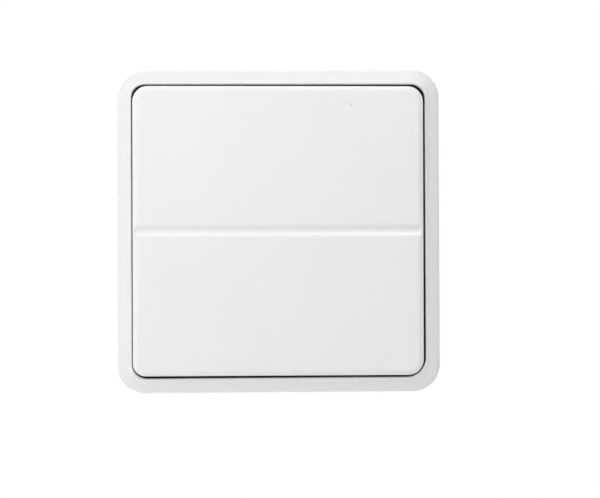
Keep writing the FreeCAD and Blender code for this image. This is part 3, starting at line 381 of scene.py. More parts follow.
def makeRocker():
    form = rockerForm
    low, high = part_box("rocker")
    halfX, halfZ, front = high.x, high.z, -low.y
    skirtRear = front - form["skirtDepth"]
    reach = form["grooveHalf"] * form["grooveSpare"]
    levels = [reach * (2 * step / form["grooveSteps"] - 1) for step in range(form["grooveSteps"] + 1)]
    wall, skin = form["skirtWall"] * form["shellPart"], form["skin"] * form["shellPart"]

    def outline(inset, depth):
        corner = grown(form["cornerRadius"], -inset)
        return roundedLoop(halfX - inset, halfZ - inset, corner, depth, form["cornerSteps"], levels)

    section = [(0, skirtRear)] + [(inset, front - fall) for inset, fall in edgeProfile()]
    outer = [outline(inset, depth) for inset, depth in section]
    for loop, (inset, depth) in zip(outer[1:], section[1:]):
        sinkGroove(loop, inset, front - depth, front)
    inner = [outline(wall, depth) for depth in (skirtRear, front - skin)]
    for loop in inner + outer:
        seatLoop(loop)
    bm = bmesh.new()
    rings = skinLoops(bm, [inner[1], inner[0]] + outer)
    bm.faces.new(rings[0])
    closeFront(bm, rings[-1], len(levels), form["cornerSteps"])
    bmesh.ops.recalc_face_normals(bm, faces=bm.faces)
    piece = finishMesh("rocker_plate", bm)
    boolean(piece, rockerInside(halfX, halfZ, front, skirtRear), "UNION")
    steadyNormals(piece)
    return piece


# node helpers, for materials and for the grown parts further down

def newMaterial(name):
    material = bpy.data.materials.new(name)
    material.use_nodes = True
    tree = material.node_tree
    return material, tree, tree.nodes["Principled BSDF"]


def addNode(tree, kind, **settings):
    node = tree.nodes.new(kind)
    for key, value in settings.items():
        if key in node.inputs:
            node.inputs[key].default_value = value
        else:
            setattr(node, key, value)
    return node


def feed(tree, socket, value):
    # a link where the value is another node's output, otherwise a plain number or colour
    if isinstance(value, bpy.types.NodeSocket):
        tree.links.new(value, socket)
    else:
        socket.default_value = value


def calc(tree, operation, *values):
    node = addNode(tree, "ShaderNodeMath", operation=operation)
    for socket, value in zip(node.inputs, values):
        feed(tree, socket, value)
    return node.outputs[0]


def times(tree, first, second):
    return calc(tree, "MULTIPLY", first, second)


def vector(tree, *values):
    node = addNode(tree, "ShaderNodeCombineXYZ")
    for socket, value in zip(node.inputs, values):
        feed(tree, socket, value)
    return node.outputs[0]


def axes(tree, point):
    parts = addNode(tree, "ShaderNodeSeparateXYZ")
    tree.links.new(point, parts.inputs[0])
    return parts.outputs["X"], parts.outputs["Y"], parts.outputs["Z"]


def flatLength(tree, first, second):
    squares = [times(tree, side, side) for side in (first, second)]
    return calc(tree, "SQRT", calc(tree, "ADD", *squares))


def between(tree, value, start, stop, low=0.0, high=1.0, way="SMOOTHSTEP"):
    node = addNode(tree, "ShaderNodeMapRange", interpolation_type=way)
    for key, number in (("From Min", start), ("From Max", stop), ("To Min", low), ("To Max", high)):
        node.inputs[key].default_value = number
    feed(tree, node.inputs["Value"], value)
    return node.outputs["Result"]


def mixColour(tree, factor, first, second, way="MIX"):
    node = addNode(tree, "ShaderNodeMix", data_type="RGBA", blend_type=way)
    for index, value in ((0, factor), (6, first), (7, second)):    # the sockets of a colour mix
        feed(tree, node.inputs[index], (*value, 1) if isinstance(value, tuple) else value)
    return node.outputs[2]


def toned(tree, colour, tone):
    return mixColour(tree, 1.0, colour, tone, "MULTIPLY")


def objectPoint(tree, stretch=(1, 1, 1), place=(0, 0, 0), turn=(0, 0, 0)):
    where = addNode(tree, "ShaderNodeTexCoord")
    mapping = addNode(tree, "ShaderNodeMapping", vector_type="TEXTURE", Location=place, Rotation=turn)
    mapping.inputs["Scale"].default_value = [1 / size for size in stretch]
    tree.links.new(where.outputs["Object"], mapping.inputs["Vector"])
    return mapping.outputs["Vector"]


noiseDetail = {"grain": 2.0, "cloud": 3.0, "line": 4.0}
noiseSpan = (0.3, 0.7)    # nearly all of the noise lies between these


def noise(tree, point, size, kind="cloud"):
    node = addNode(tree, "ShaderNodeTexNoise", Scale=1 / size, Detail=noiseDetail[kind])
    tree.links.new(point, node.inputs["Vector"])
    return node.outputs["Fac"]


def noiseRange(tree, point, size, low, high, kind="cloud"):
    return between(tree, noise(tree, point, size, kind), *noiseSpan, low, high, "LINEAR")


def bumped(tree, shader, height, depth):
    bump = addNode(tree, "ShaderNodeBump", Strength=1.0, Distance=depth)
    tree.links.new(height, bump.inputs["Height"])
    tree.links.new(bump.outputs["Normal"], shader.inputs["Normal"])


# moulded plastics: faint mottle, fine grain; roughness varies in patches a good deal smaller than the mottle

frameLook = {
    "colour": (0.815, 0.815, 0.815), "mottle": 0.006, "mottleSize": 14 * mm, "ior": 1.5,
    "roughness": 0.45, "roughSpread": 0.03, "roughParts": 7, "grainSize": 0.16 * mm, "grainDepth": 0.003 * mm,
}
rockerLook = dict(frameLook, colour=(0.853, 0.853, 0.853), roughness=0.42, speck={
    "place": (16.9 * mm, 0, 29.1 * mm), "length": 0.55 * mm, "width": 0.3 * mm, "turn": math.radians(40),
    "strength": 0.75, "fade": (0.3, 0.8), "colour": (0.55, 0.54, 0.52),
})
carrierLook = {
    "colour": (0.03, 0.03, 0.031), "mottle": 0.2, "mottleSize": 6 * mm, "ior": 1.5,
    "roughness": 0.6, "roughSpread": 0.06, "roughParts": 7, "grainSize": 0.25 * mm, "grainDepth": 0.006 * mm,
}
plateLook = {
    "colour": (0.76, 0.76, 0.75), "mottle": 0.02, "mottleSize": 9 * mm, "ior": 1.5,
    "roughness": 0.55, "roughSpread": 0.05, "roughParts": 7, "grainSize": 0.3 * mm, "grainDepth": 0.008 * mm,
}
switchLook = dict(carrierLook, colour=(0.02, 0.02, 0.021), mottleSize=3 * mm, roughness=0.5)
plungerLook = dict(carrierLook, colour=(0.16, 0.055, 0.024), mottle=0.1, mottleSize=2 * mm, roughness=0.45)
holderLook = dict(carrierLook, colour=(0.018, 0.018, 0.02), roughness=0.52)
buttonLook = dict(plateLook, colour=(0.74, 0.73, 0.70), mottleSize=2 * mm, roughness=0.42)


def speckled(tree, colour, speck):
    # one slanted fleck of dirt
    local = objectPoint(tree, (1 / speck["length"], 1, 1 / speck["width"]), speck["place"], (0, speck["turn"], 0))
    along, _, across = axes(tree, local)
    inside = between(tree, flatLength(tree, along, across), *speck["fade"], speck["strength"], 0.0)
    return mixColour(tree, inside, colour, speck["colour"])


def mouldedPlastic(name, look):
    material, tree, shader = newMaterial(name)
    point = objectPoint(tree)
    mottle, rough, spread = look["mottle"], look["roughness"], look["roughSpread"]
    colour = toned(tree, look["colour"], noiseRange(tree, point, look["mottleSize"], 1 - mottle, 1 + mottle))
    if "speck" in look:
        colour = speckled(tree, colour, look["speck"])
    tree.links.new(colour, shader.inputs["Base Color"])
    patches = noiseRange(tree, point, look["mottleSize"] / look["roughParts"], rough - spread, rough + spread)
    tree.links.new(patches, shader.inputs["Roughness"])
    bumped(tree, shader, noise(tree, point, look["grainSize"], "grain"), look["grainDepth"])
    shader.inputs["IOR"].default_value = look["ior"]
    return material


# rolled sheet: fine lines along the strip, cloudy roughness

sheetLook = {
    "colour": (0.70, 0.70, 0.68), "variation": 0.06, "stretch": (1, 8, 12), "lineSize": 0.6 * mm,
    "cloudSize": 2.5 * mm, "roughness": 0.3, "roughShares": (0.75, 1.3), "lineDepth": 0.003 * mm,
}
screwLook = dict(sheetLook, colour=(0.56, 0.56, 0.55), roughness=0.34, cloudSize=1 * mm)
springLook = dict(sheetLook, colour=(0.75, 0.55, 0.30), roughness=0.26, stretch=(1, 12, 12))


def stampedMetal(name, look):
    material, tree, shader = newMaterial(name)
    lines = objectPoint(tree, look["stretch"])
    cloud = objectPoint(tree)
    tone = noiseRange(tree, lines, look["lineSize"], 1 - look["variation"], 1 + look["variation"], "line")
    tree.links.new(toned(tree, look["colour"], tone), shader.inputs["Base Color"])
    roughSpan = [look["roughness"] * share for share in look["roughShares"]]
    tree.links.new(noiseRange(tree, cloud, look["cloudSize"], *roughSpan), shader.inputs["Roughness"])
    bumped(tree, shader, noise(tree, lines, look["lineSize"], "grain"), look["lineDepth"])
    shader.inputs["Metallic"].default_value = 1
    return material


# pressed can of the coin cell: faint rings round its middle

cellLook = {
    "colour": (0.66, 0.66, 0.65), "cloudSize": 6 * mm, "tone": (0.93, 1.05), "roughness": 0.24,
    "roughShares": (0.8, 1.25), "ringPitch": 0.6 * mm, "ringWaver": 0.6, "ringDetail": 2.0, "ringDepth": 0.002 * mm,
}
waveFactor = 20    # the wave texture multiplies its scale by this


def turnedMetal(name, look):
    material, tree, shader = newMaterial(name)
    point = objectPoint(tree)
    wave = addNode(tree, "ShaderNodeTexWave", wave_type="RINGS", rings_direction="Y",
                   Distortion=look["ringWaver"], Detail=look["ringDetail"])
    wave.inputs["Scale"].default_value = 2 * math.pi / (waveFactor * look["ringPitch"])
    tree.links.new(point, wave.inputs["Vector"])
    rings = wave.outputs["Fac"]
    tone = noiseRange(tree, point, look["cloudSize"], *look["tone"])
    tree.links.new(toned(tree, look["colour"], tone), shader.inputs["Base Color"])
    roughSpan = [look["roughness"] * share for share in look["roughShares"]]
    tree.links.new(between(tree, rings, 0, 1, *roughSpan), shader.inputs["Roughness"])
    bumped(tree, shader, rings, look["ringDepth"])
    shader.inputs["Metallic"].default_value = 1
    return material


# boards: solder mask over copper tracks, tinned via rings, bare laminate at the cut edges

boardLook = {
    "colour": (0.008, 0.085, 0.030), "trackColour": (0.020, 0.155, 0.060), "laminate": (0.42, 0.36, 0.20),
    "tin": (0.70, 0.68, 0.62), "roughness": 0.34, "edgeRoughness": 0.75, "tone": (0.9, 1.1), "toneSize": 5 * mm,
    "trackWidth": 0.28 * mm, "trackPitch": 1.27 * mm, "trackFade": 1.3, "fieldSize": 8 * mm, "fieldRandom": 0.8,
    "bareFields": 0.35, "viaPitch": 2.54 * mm, "viaRandom": 0.4, "viaSize": 0.8 * mm, "viaFade": 1.15,
    "viaHole": (0.4, 0.5), "holeTone": 0.25, "viasLeftOut": 0.72, "copper": 0.03 * mm, "faceTurn": (0.4, 0.6),
}
radioLook = dict(boardLook, colour=(0.008, 0.03, 0.14), trackColour=(0.02, 0.07, 0.24), trackPitch=0.8 * mm,
                 trackWidth=0.18 * mm, viaPitch=1.6 * mm, viaSize=0.5 * mm)


def copperTracks(tree, look, flat, x, z):
    # fields of parallel tracks: each field runs one way or the other, some stay bare
    fields = addNode(tree, "ShaderNodeTexVoronoi", distance="CHEBYCHEV", Scale=1 / look["fieldSize"],
                     Randomness=look["fieldRandom"])
    tree.links.new(flat, fields.inputs["Vector"])
    way, bare, _ = axes(tree, fields.outputs["Color"])
    edge = look["trackWidth"] / 2 / look["trackPitch"]
    upright, level = (between(tree, calc(tree, "PINGPONG", calc(tree, "DIVIDE", axis, look["trackPitch"]), 0.5),
                              edge, edge * look["trackFade"], 1, 0) for axis in (x, z))
    turned = calc(tree, "GREATER_THAN", way, 0.5)
    chosen = calc(tree, "ADD", times(tree, upright, turned), times(tree, level, calc(tree, "SUBTRACT", 1.0, turned)))
    return times(tree, chosen, calc(tree, "GREATER_THAN", bare, look["bareFields"]))


def viaRings(tree, look, flat):
    cells = addNode(tree, "ShaderNodeTexVoronoi", Scale=1 / look["viaPitch"], Randomness=look["viaRandom"])
    tree.links.new(flat, cells.inputs["Vector"])
    away, chance = cells.outputs["Distance"], axes(tree, cells.outputs["Color"])[0]
    size = look["viaSize"] / 2 / look["viaPitch"]
    holeSpan = [size * share for share in look["viaHole"]]
    ring = times(tree, between(tree, away, size, size * look["viaFade"], 1, 0),
                 between(tree, away, *holeSpan, look["holeTone"], 1))
    return times(tree, ring, calc(tree, "GREATER_THAN", chance, look["viasLeftOut"]))


def boardMask(name, look):
    material, tree, shader = newMaterial(name)
    point = objectPoint(tree)
    x, _, z = axes(tree, point)
    flat = vector(tree, x, z)
    tracks, vias = copperTracks(tree, look, flat, x, z), viaRings(tree, look, flat)
    normal = addNode(tree, "ShaderNodeTexCoord").outputs["Normal"]
    face = between(tree, calc(tree, "ABSOLUTE", axes(tree, normal)[1]), *look["faceTurn"])
    mask = mixColour(tree, tracks, look["colour"], look["trackColour"])
    mask = toned(tree, mask, noiseRange(tree, point, look["toneSize"], *look["tone"]))
    top = mixColour(tree, vias, mask, look["tin"])
    tree.links.new(mixColour(tree, face, look["laminate"], top), shader.inputs["Base Color"])
    tree.links.new(times(tree, vias, face), shader.inputs["Metallic"])
    tree.links.new(between(tree, face, 0, 1, look["edgeRoughness"], look["roughness"]), shader.inputs["Roughness"])
    bumped(tree, shader, calc(tree, "ADD", tracks, vias), look["copper"])
    return material


# controller: black moulding compound with a shallow round mark at the first lead

controllerLook = {
    "colour": (0.014, 0.014, 0.015), "tone": (0.8, 1.25), "toneSize": 0.4 * mm, "roughness": 0.5,
    "grainSize": 0.12 * mm, "grainDepth": 0.008 * mm, "mark": (14.6 * mm, 0, 7.4 * mm), "markSize": 0.7 * mm,
    "markEdge": (0.45, 0.5), "markColour": (0.05, 0.05, 0.05), "markRoughness": 0.3, "markDepth": 4.0,
}


def chipEpoxy(name, look):
    material, tree, shader = newMaterial(name)
    point = objectPoint(tree)
    x, _, z = axes(tree, objectPoint(tree, place=look["mark"]))
    markSpan = [look["markSize"] * share for share in look["markEdge"]]
    mark = between(tree, flatLength(tree, x, z), *markSpan, 1, 0)
    body = toned(tree, look["colour"], noiseRange(tree, point, look["toneSize"], *look["tone"]))
    tree.links.new(mixColour(tree, mark, body, look["markColour"]), shader.inputs["Base Color"])
    tree.links.new(between(tree, mark, 0, 1, look["roughness"], look["markRoughness"]), shader.inputs["Roughness"])
    grain = noise(tree, point, look["grainSize"], "grain")
    sunk = calc(tree, "SUBTRACT", grain, times(tree, mark, look["markDepth"]))
    bumped(tree, shader, sunk, look["grainDepth"])
    return material


# chip parts: one column of tan capacitors and one of dark resistors

passiveLook = {
    "divide": 8.4 * mm, "resistor": (0.012, 0.012, 0.014), "capacitor": (0.33, 0.22, 0.12), "tone": (0.85, 1.15),
    "toneSize": 0.5 * mm, "roughness": (0.35, 0.55), "roughSize": 0.3 * mm, "grainSize": 0.1 * mm,
    "grainDepth": 0.004 * mm,
}


def chipCeramic(name, look):
    material, tree, shader = newMaterial(name)
    point = objectPoint(tree)
    column = calc(tree, "GREATER_THAN", axes(tree, point)[0], look["divide"])
    body = mixColour(tree, column, look["resistor"], look["capacitor"])
    tone = noiseRange(tree, point, look["toneSize"], *look["tone"])
    tree.links.new(toned(tree, body, tone), shader.inputs["Base Color"])
    tree.links.new(noiseRange(tree, point, look["roughSize"], *look["roughness"]), shader.inputs["Roughness"])
    bumped(tree, shader, noise(tree, point, look["grainSize"]), look["grainDepth"])
    return material


# status lamp: white base below, clear lens above

lampLook = {
    "lensRear": 10.9 * mm, "lensFade": 0.02 * mm, "base": (0.74, 0.73, 0.70), "lens": (0.92, 0.93, 0.90),
    "tone": (0.96, 1.04), "toneSize": 0.8 * mm, "clearness": 0.85, "baseRoughness": 0.5, "lensRoughness": 0.12,
    "grainSize": 0.2 * mm, "grainDepth": 0.003 * mm, "ior": 1.53,
}


def lampLens(name, look):
    material, tree, shader = newMaterial(name)
    point = objectPoint(tree)
    depth = times(tree, axes(tree, point)[1], -1.0)
    lens = between(tree, depth, look["lensRear"] - look["lensFade"], look["lensRear"] + look["lensFade"])
    body = mixColour(tree, lens, look["base"], look["lens"])
    tone = noiseRange(tree, point, look["toneSize"], *look["tone"])
    tree.links.new(toned(tree, body, tone), shader.inputs["Base Color"])
    tree.links.new(between(tree, lens, 0, 1, 0.0, look["clearness"]), shader.inputs["Transmission Weight"])
    rough = between(tree, lens, 0, 1, look["baseRoughness"], look["lensRoughness"])
    tree.links.new(rough, shader.inputs["Roughness"])
    bumped(tree, shader, noise(tree, point, look["grainSize"]), look["grainDepth"])
    shader.inputs["IOR"].default_value = look["ior"]
    return material


finishes = {
    # finish: how it is made, its look, the nodes that carry it
    "carrier plastic": (mouldedPlastic, carrierLook, ("chassis",)),
    "plate plastic": (mouldedPlastic, plateLook, ("wall_plate",)),
    "switch plastic": (mouldedPlastic, switchLook, ("upper_switch_base", "lower_switch_base", "setup_button_base")),
    "plunger plastic": (mouldedPlastic, plungerLook, ("upper_switch_plunger", "lower_switch_plunger")),
    "holder plastic": (mouldedPlastic, holderLook, ("battery_holder",)),
    "button plastic": (mouldedPlastic, buttonLook, ("setup_button_cap",)),
    "tinned sheet": (stampedMetal, sheetLook, ("switch_terminals", "battery_positive_clip", "radio_shield", "crystal",
                                               "upper_switch_cover", "lower_switch_cover")),
    "screw steel": (stampedMetal, screwLook, ("board_screws",)),
    "spring bronze": (stampedMetal, springLook, ("battery_negative_contact", "antenna", "upper_switch_dome",
                                                 "lower_switch_dome")),
    "cell steel": (turnedMetal, cellLook, ("coin_cell",)),
    "board mask": (boardMask, boardLook, ("circuit_board",)),
    "radio mask": (boardMask, radioLook, ("radio_board",)),
    "controller epoxy": (chipEpoxy, controllerLook, ("microcontroller",)),
    "chip ceramic": (chipCeramic, passiveLook, ("chip_passives",)),
    "lamp lens": (lampLens, lampLook, ("status_led",)),
}


# wall plate: the solid's own form with soft edges, and shallow ejector marks on the side to the wall

plateForm = {
    "softEdge": 0.15 * mm,
    "flatAngle": math.radians(0.5),    # triangles that turn less than this become one face
    "markSize": 5.0 * mm,
    "markDepth": 0.12 * mm,
    "markSteps": 48,
    "markPlaces": ((-22, 22), (22, 22), (0, 0), (-22, -22), (22, -22)),    # mm
}


def makeWallPlate():
    form = plateForm
    bm = mergedCopy("wall_plate")
    bmesh.ops.dissolve_limit(bm, angle_limit=form["flatAngle"], verts=bm.verts, edges=bm.edges)
    piece = finishMesh("wall_plate_shell", bm)
    softenEdges(piece, form["softEdge"], clamp=False)
    bakeModifiers(piece)
    radius = form["markSize"] / 2
    for x, z in form["markPlaces"]:
        mark = bmesh.new()
        bmesh.ops.create_cone(mark, cap_ends=True, segments=form["markSteps"], radius1=radius, radius2=radius,
                              depth=2 * form["markDepth"])
        bmesh.ops.rotate(mark, verts=mark.verts, matrix=Matrix.Rotation(math.pi / 2, 3, "X"))
        bmesh.ops.translate(mark, verts=mark.verts, vec=(x * mm, 0, z * mm))
        boolean(piece, finishMesh("ejector_mark", mark), "DIFFERENCE")
    steadyNormals(piece)
    return piece


def dress(piece, material):
    piece.data.materials.clear()
    piece.data.materials.append(material)


shell = makeFrame()
dress(shell, mouldedPlastic("white frame plastic", frameLook))
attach(shell, "housing")
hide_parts("frame")
print("frame shell:", len(shell.data.polygons), "faces")

plate = makeRocker()
dress(plate, mouldedPlastic("white rocker plastic", rockerLook))
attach(plate, "rocker")
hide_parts("rocker")
print("rocker plate:", len(plate.data.polygons), "faces")

made = {}
for finish, (maker, look, names) in finishes.items():
    made[finish] = maker(finish, look)
    for name in names:
        nodes[name].material_slots[0].material = made[finish]
print("finishes:", len(made), "on the inner nodes")

wallPlate = makeWallPlate()
dress(wallPlate, made["plate plastic"])
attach(wallPlate, "housing")
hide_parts("wall_plate")
print("wall plate:", len(wallPlate.data.polygons), "faces")

# snap domes of the push switches: each is a merged copy of its solid in spring bronze, standing where the solid stood
for side in ("upper", "lower"):
    spring = finishMesh(f"{side}_dome_spring", mergedCopy(f"{side}_switch_dome"))
    dress(spring, made["spring bronze"])
    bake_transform(spring)
    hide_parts(f"{side}_switch_dome")
    print(spring.name, len(spring.data.polygons), "faces")


# small repeated parts: each is grown by its own tree of geometry nodes, with its sizes as named inputs

def newTree(name, sizes):
    tree = bpy.data.node_groups.new(name, "GeometryNodeTree")
    tree.interface.new_socket("Geometry", in_out="OUTPUT", socket_type="NodeSocketGeometry")
    for label, value in sizes.items():
        kind = "NodeSocketInt" if isinstance(value, int) else "NodeSocketFloat"
        tree.interface.new_socket(label, in_out="INPUT", socket_type=kind)
    return tree, tree.nodes.new("NodeGroupInput").outputs


def shape(tree, kind, *links, **settings):
    # a geometry node with its named sockets fed, first output back
    node = addNode(tree, kind)
    for key, value in settings.items():
        if key in node.inputs:
            feed(tree, node.inputs[key], value)
        else:
            setattr(node, key, value)
    for key, value in links:
        feed(tree, node.inputs[key], value)
    return node.outputs[0]


def moved(tree, geometry, place=(0, 0, 0), turn=(0, 0, 0), scale=(1, 1, 1)):
    return shape(tree, "GeometryNodeTransform", Geometry=geometry, Translation=place, Rotation=turn, Scale=scale)


def joined(tree, *geometries):
    node = addNode(tree, "GeometryNodeJoinGeometry")
    for geometry in geometries:
        tree.links.new(geometry, node.inputs[0])
    return node.outputs[0]


def row(tree, count, start, step):
    return shape(tree, "GeometryNodeMeshLine", ("Start Location", start), Count=count, Offset=step)


def bentLine(tree, places):
    # a curve with one straight run between each place and the next; the row's own points are all moved
    choose = addNode(tree, "GeometryNodeIndexSwitch", data_type="VECTOR")
    while len(choose.index_switch_items) < len(places):
        choose.index_switch_items.new()
    tree.links.new(addNode(tree, "GeometryNodeInputIndex").outputs[0], choose.inputs["Index"])
    for socket, place in zip(list(choose.inputs)[1:], places):
        tree.links.new(place, socket)
    line = shape(tree, "GeometryNodeSetPosition", Geometry=row(tree, len(places), (0, 0, 0), (0.1 * mm, 0, 0)),
                 Position=choose.outputs[0])
    return shape(tree, "GeometryNodeMeshToCurve", Mesh=line)


def repeated(tree, points, geometry, turn=(0, 0, 0)):
    return shape(tree, "GeometryNodeInstanceOnPoints", Points=points, Instance=geometry, Rotation=turn)


def grow(name, tree, geometry, sizes, material, soften=0):
    solid = shape(tree, "GeometryNodeRealizeInstances", Geometry=geometry)
    coloured = shape(tree, "GeometryNodeSetMaterial", Geometry=solid, Material=material)
    tree.links.new(coloured, tree.nodes.new("NodeGroupOutput").inputs[0])
    piece = bpy.data.objects.new(name, bpy.data.meshes.new(name))
    scene.collection.objects.link(piece)
    step = piece.modifiers.new("grown", "NODES")
    step.node_group = tree
    for item in tree.interface.items_tree:
        if item.in_out == "INPUT":
            step[item.identifier] = sizes[item.name]
    if soften:
        softenEdges(piece, soften)
    bakeModifiers(piece)
    dress(piece, material)
    smoothFaces(piece.data)
    return piece


# gull-wing leads round the controller

leadForm = {
    "Body": 7.0 * mm, "Leads": 8, "Pitch": 0.8 * mm, "Width": 0.32 * mm, "Thickness": 0.13 * mm,
    "Root": 0.1 * mm, "Rise": 0.45 * mm, "Shoulder": 0.25 * mm, "Reach": 1.0 * mm,
}
leadPlace = (17 * mm, -10 * mm, 5 * mm)


def controllerLeads(material):
    tree, size = newTree("controller leads", leadForm)
    root, high = times(tree, size["Root"], -1.0), times(tree, size["Rise"], -1.0)
    low = times(tree, size["Thickness"], -0.5)
    knee = calc(tree, "ADD", size["Shoulder"], size["Thickness"])
    path = bentLine(tree, (vector(tree, root, high), vector(tree, size["Shoulder"], high),
                           vector(tree, knee, low), vector(tree, size["Reach"], low)))
    path = shape(tree, "GeometryNodeSetCurveNormal", Curve=path, mode="Z_UP")
    section = shape(tree, "GeometryNodeCurvePrimitiveQuadrilateral", Width=size["Thickness"], Height=size["Width"])
    lead = shape(tree, "GeometryNodeCurveToMesh", ("Profile Curve", section), ("Fill Caps", True), Curve=path)
    span = times(tree, calc(tree, "SUBTRACT", size["Leads"], 1.0), size["Pitch"])
    start = vector(tree, times(tree, size["Body"], 0.5), 0.0, times(tree, span, -0.5))
    side = repeated(tree, row(tree, size["Leads"], start, vector(tree, 0.0, 0.0, size["Pitch"])), lead)
    quarter = times(tree, addNode(tree, "GeometryNodeInputIndex").outputs[0], math.pi / 2)
    around = repeated(tree, row(tree, 4, (0, 0, 0), (0, 0, 0)), side, vector(tree, 0.0, quarter, 0.0))
    return grow("controller_leads", tree, moved(tree, around, leadPlace), leadForm, material)


# tinned ends on the chip parts

capForm = {
    "Chip Length": 2.0 * mm, "Chip Width": 1.2 * mm, "Chip Height": 0.8 * mm, "Band": 0.42 * mm, "Skin": 0.03 * mm,
    "Column Pitch": 3.2 * mm, "Row Pitch": 2.4 * mm, "Columns": 2, "Rows": 4,
}
capPlace = (6.8 * mm, -10 * mm, -16.2 * mm)    # the lowest chip of the inner column
capSoftEdge = 0.06 * mm


def chipCaps(material):
    tree, size = newTree("chip caps", capForm)
    skin = size["Skin"]
    tall = calc(tree, "ADD", size["Chip Height"], skin)
    wide = calc(tree, "ADD", size["Chip Width"], times(tree, skin, 2.0))
    cap = shape(tree, "GeometryNodeMeshCube", Size=vector(tree, size["Band"], tall, wide))
    cap = moved(tree, cap, vector(tree, 0.0, times(tree, tall, -0.5), 0.0))
    end = calc(tree, "ADD", times(tree, size["Chip Length"], 0.5), skin)
    out = calc(tree, "SUBTRACT", end, times(tree, size["Band"], 0.5))
    ends = row(tree, 2, vector(tree, times(tree, out, -1.0)), vector(tree, times(tree, out, 2.0)))
    chip = repeated(tree, ends, cap)
    column = repeated(tree, row(tree, size["Rows"], (0, 0, 0), vector(tree, 0.0, 0.0, size["Row Pitch"])), chip)
    block = repeated(tree, row(tree, size["Columns"], (0, 0, 0), vector(tree, size["Column Pitch"])), column)
    return grow("chip_caps", tree, moved(tree, block, capPlace), capForm, material, soften=capSoftEdge)


# solder fillets at the feet of both push switches

solderForm = {
    "Across": 7.3 * mm, "Along": 4.5 * mm, "Switch Pitch": 18.0 * mm, "Length": 0.55 * mm, "Width": 0.45 * mm,
    "Height": 0.16 * mm, "Segments": 16, "Rings": 9,
}
solderPlace = (0, -10 * mm, 0)


def solderJoints(material):
    tree, size = newTree("solder joints", solderForm)
    ball = shape(tree, "GeometryNodeMeshUVSphere", Segments=size["Segments"], Rings=size["Rings"], Radius=1.0)
    drop = moved(tree, ball, scale=vector(tree, size["Length"], size["Height"], size["Width"]))
    grid = shape(tree, "GeometryNodeMeshGrid", ("Size X", size["Across"]), ("Size Y", size["Along"]),
                 ("Vertices X", 2), ("Vertices Y", 2))
    feet = repeated(tree, moved(tree, grid, turn=(math.pi / 2, 0, 0)), drop)
    start = vector(tree, 0.0, 0.0, times(tree, size["Switch Pitch"], -0.5))
    both = repeated(tree, row(tree, 2, start, vector(tree, 0.0, 0.0, size["Switch Pitch"])), feet)
    return grow("solder_joints", tree, moved(tree, both, solderPlace), solderForm, material)


# pan-head screws with a cross recess and a thread, from the rear of the board into the bosses

screwForm = {
    "Head": 4.0 * mm, "Head Height": 1.4 * mm, "Recess Length": 2.3 * mm, "Recess Width": 0.5 * mm,
    "Recess Depth": 0.8 * mm, "Shank": 1.6 * mm, "Length": 5.0 * mm, "Thread Pitch": 0.7 * mm,
    "Thread": 0.17 * mm, "Spacing": 53.0 * mm, "Round Steps": 48, "Thread Steps": 20,
}
screwPlace = (26.5 * mm, -8.4 * mm, 26.5 * mm)
headCurve = ((0.62, 1.0), (0.84, 0.9), (0.96, 0.68), (1.0, 0.4), (1.0, 0.0))    # shares of head radius and height
tipCurve = ((1.0, 0.92), (0.4, 1.0))    # shares of shank radius and length
recessBars = ((0, 1.0), (math.pi / 2, 1.05))    # turn and share of the depth: two floors at one level cut badly
threadRun, threadStart = 0.82, 0.9    # shares of the shank's length
spindle = 0.0001 * mm    # radius of the circle that the outline is turned on


def boardScrews(material):
    tree, size = newTree("board screws", screwForm)
    head, tall = times(tree, size["Head"], 0.5), size["Head Height"]
    shaft, tip = times(tree, size["Shank"], 0.5), times(tree, size["Length"], -1.0)
    outline = [(0.0, tall)]
    outline += [(times(tree, head, out), times(tree, tall, up)) for out, up in headCurve]
    outline += [(shaft, 0.0)] + [(times(tree, shaft, out), times(tree, tip, down)) for out, down in tipCurve]
    outline += [(0.0, tip)]
    section = bentLine(tree, [vector(tree, out, times(tree, up, -1.0)) for out, up in outline])
    circle = shape(tree, "GeometryNodeCurvePrimitiveCircle", Resolution=size["Round Steps"], Radius=spindle)
    body = shape(tree, "GeometryNodeCurveToMesh", ("Profile Curve", section), Curve=circle)
    body = shape(tree, "GeometryNodeMergeByDistance", Geometry=body, Distance=meshHabits["mergeReach"])
    for turn, share in recessBars:
        deep = times(tree, size["Recess Depth"], 2 * share)    # half of the bar stands above the head
        bar = shape(tree, "GeometryNodeMeshCube", Size=vector(tree, size["Recess Length"], size["Recess Width"], deep))
        bar = moved(tree, bar, vector(tree, 0.0, 0.0, tall), (0, 0, turn))
        body = shape(tree, "GeometryNodeMeshBoolean", ("Mesh 1", body), ("Mesh 2", bar), operation="DIFFERENCE")
    wound = times(tree, size["Length"], threadRun)
    spiral = shape(tree, "GeometryNodeCurveSpiral", ("Start Radius", shaft), ("End Radius", shaft), Height=wound,
                   Resolution=size["Thread Steps"], Rotations=calc(tree, "DIVIDE", wound, size["Thread Pitch"]))
    ridge = shape(tree, "GeometryNodeCurvePrimitiveCircle", Resolution=4, Radius=size["Thread"])
    thread = shape(tree, "GeometryNodeCurveToMesh", ("Profile Curve", ridge), ("Fill Caps", True), Curve=spiral)
    thread = moved(tree, thread, vector(tree, 0.0, 0.0, times(tree, tip, threadStart)))
    screw = moved(tree, joined(tree, body, thread), turn=(-math.pi / 2, 0, 0))
    away = times(tree, size["Spacing"], -1.0)
    pair = repeated(tree, row(tree, 2, screwPlace, vector(tree, away, 0.0, away)), screw)
    return grow("screw_pair", tree, pair, screwForm, material)


smallParts = (
    # maker, finish, slot
    (controllerLeads, "tinned sheet", "sheet_steel"),
    (chipCaps, "tinned sheet", "sheet_steel"),
    (solderJoints, "tinned sheet", "sheet_steel"),
    (boardScrews, "screw steel", "screw_steel"),
)
for maker, finish, slot in smallParts:
    piece = maker(made[finish])
    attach(piece, "housing")
    if maker is boardScrews:
        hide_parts("board_screws")
    print(piece.name, len(piece.data.polygons), "faces")


# stage: white all round for the camera and in reflections, pale floor well below, soft lamps all round

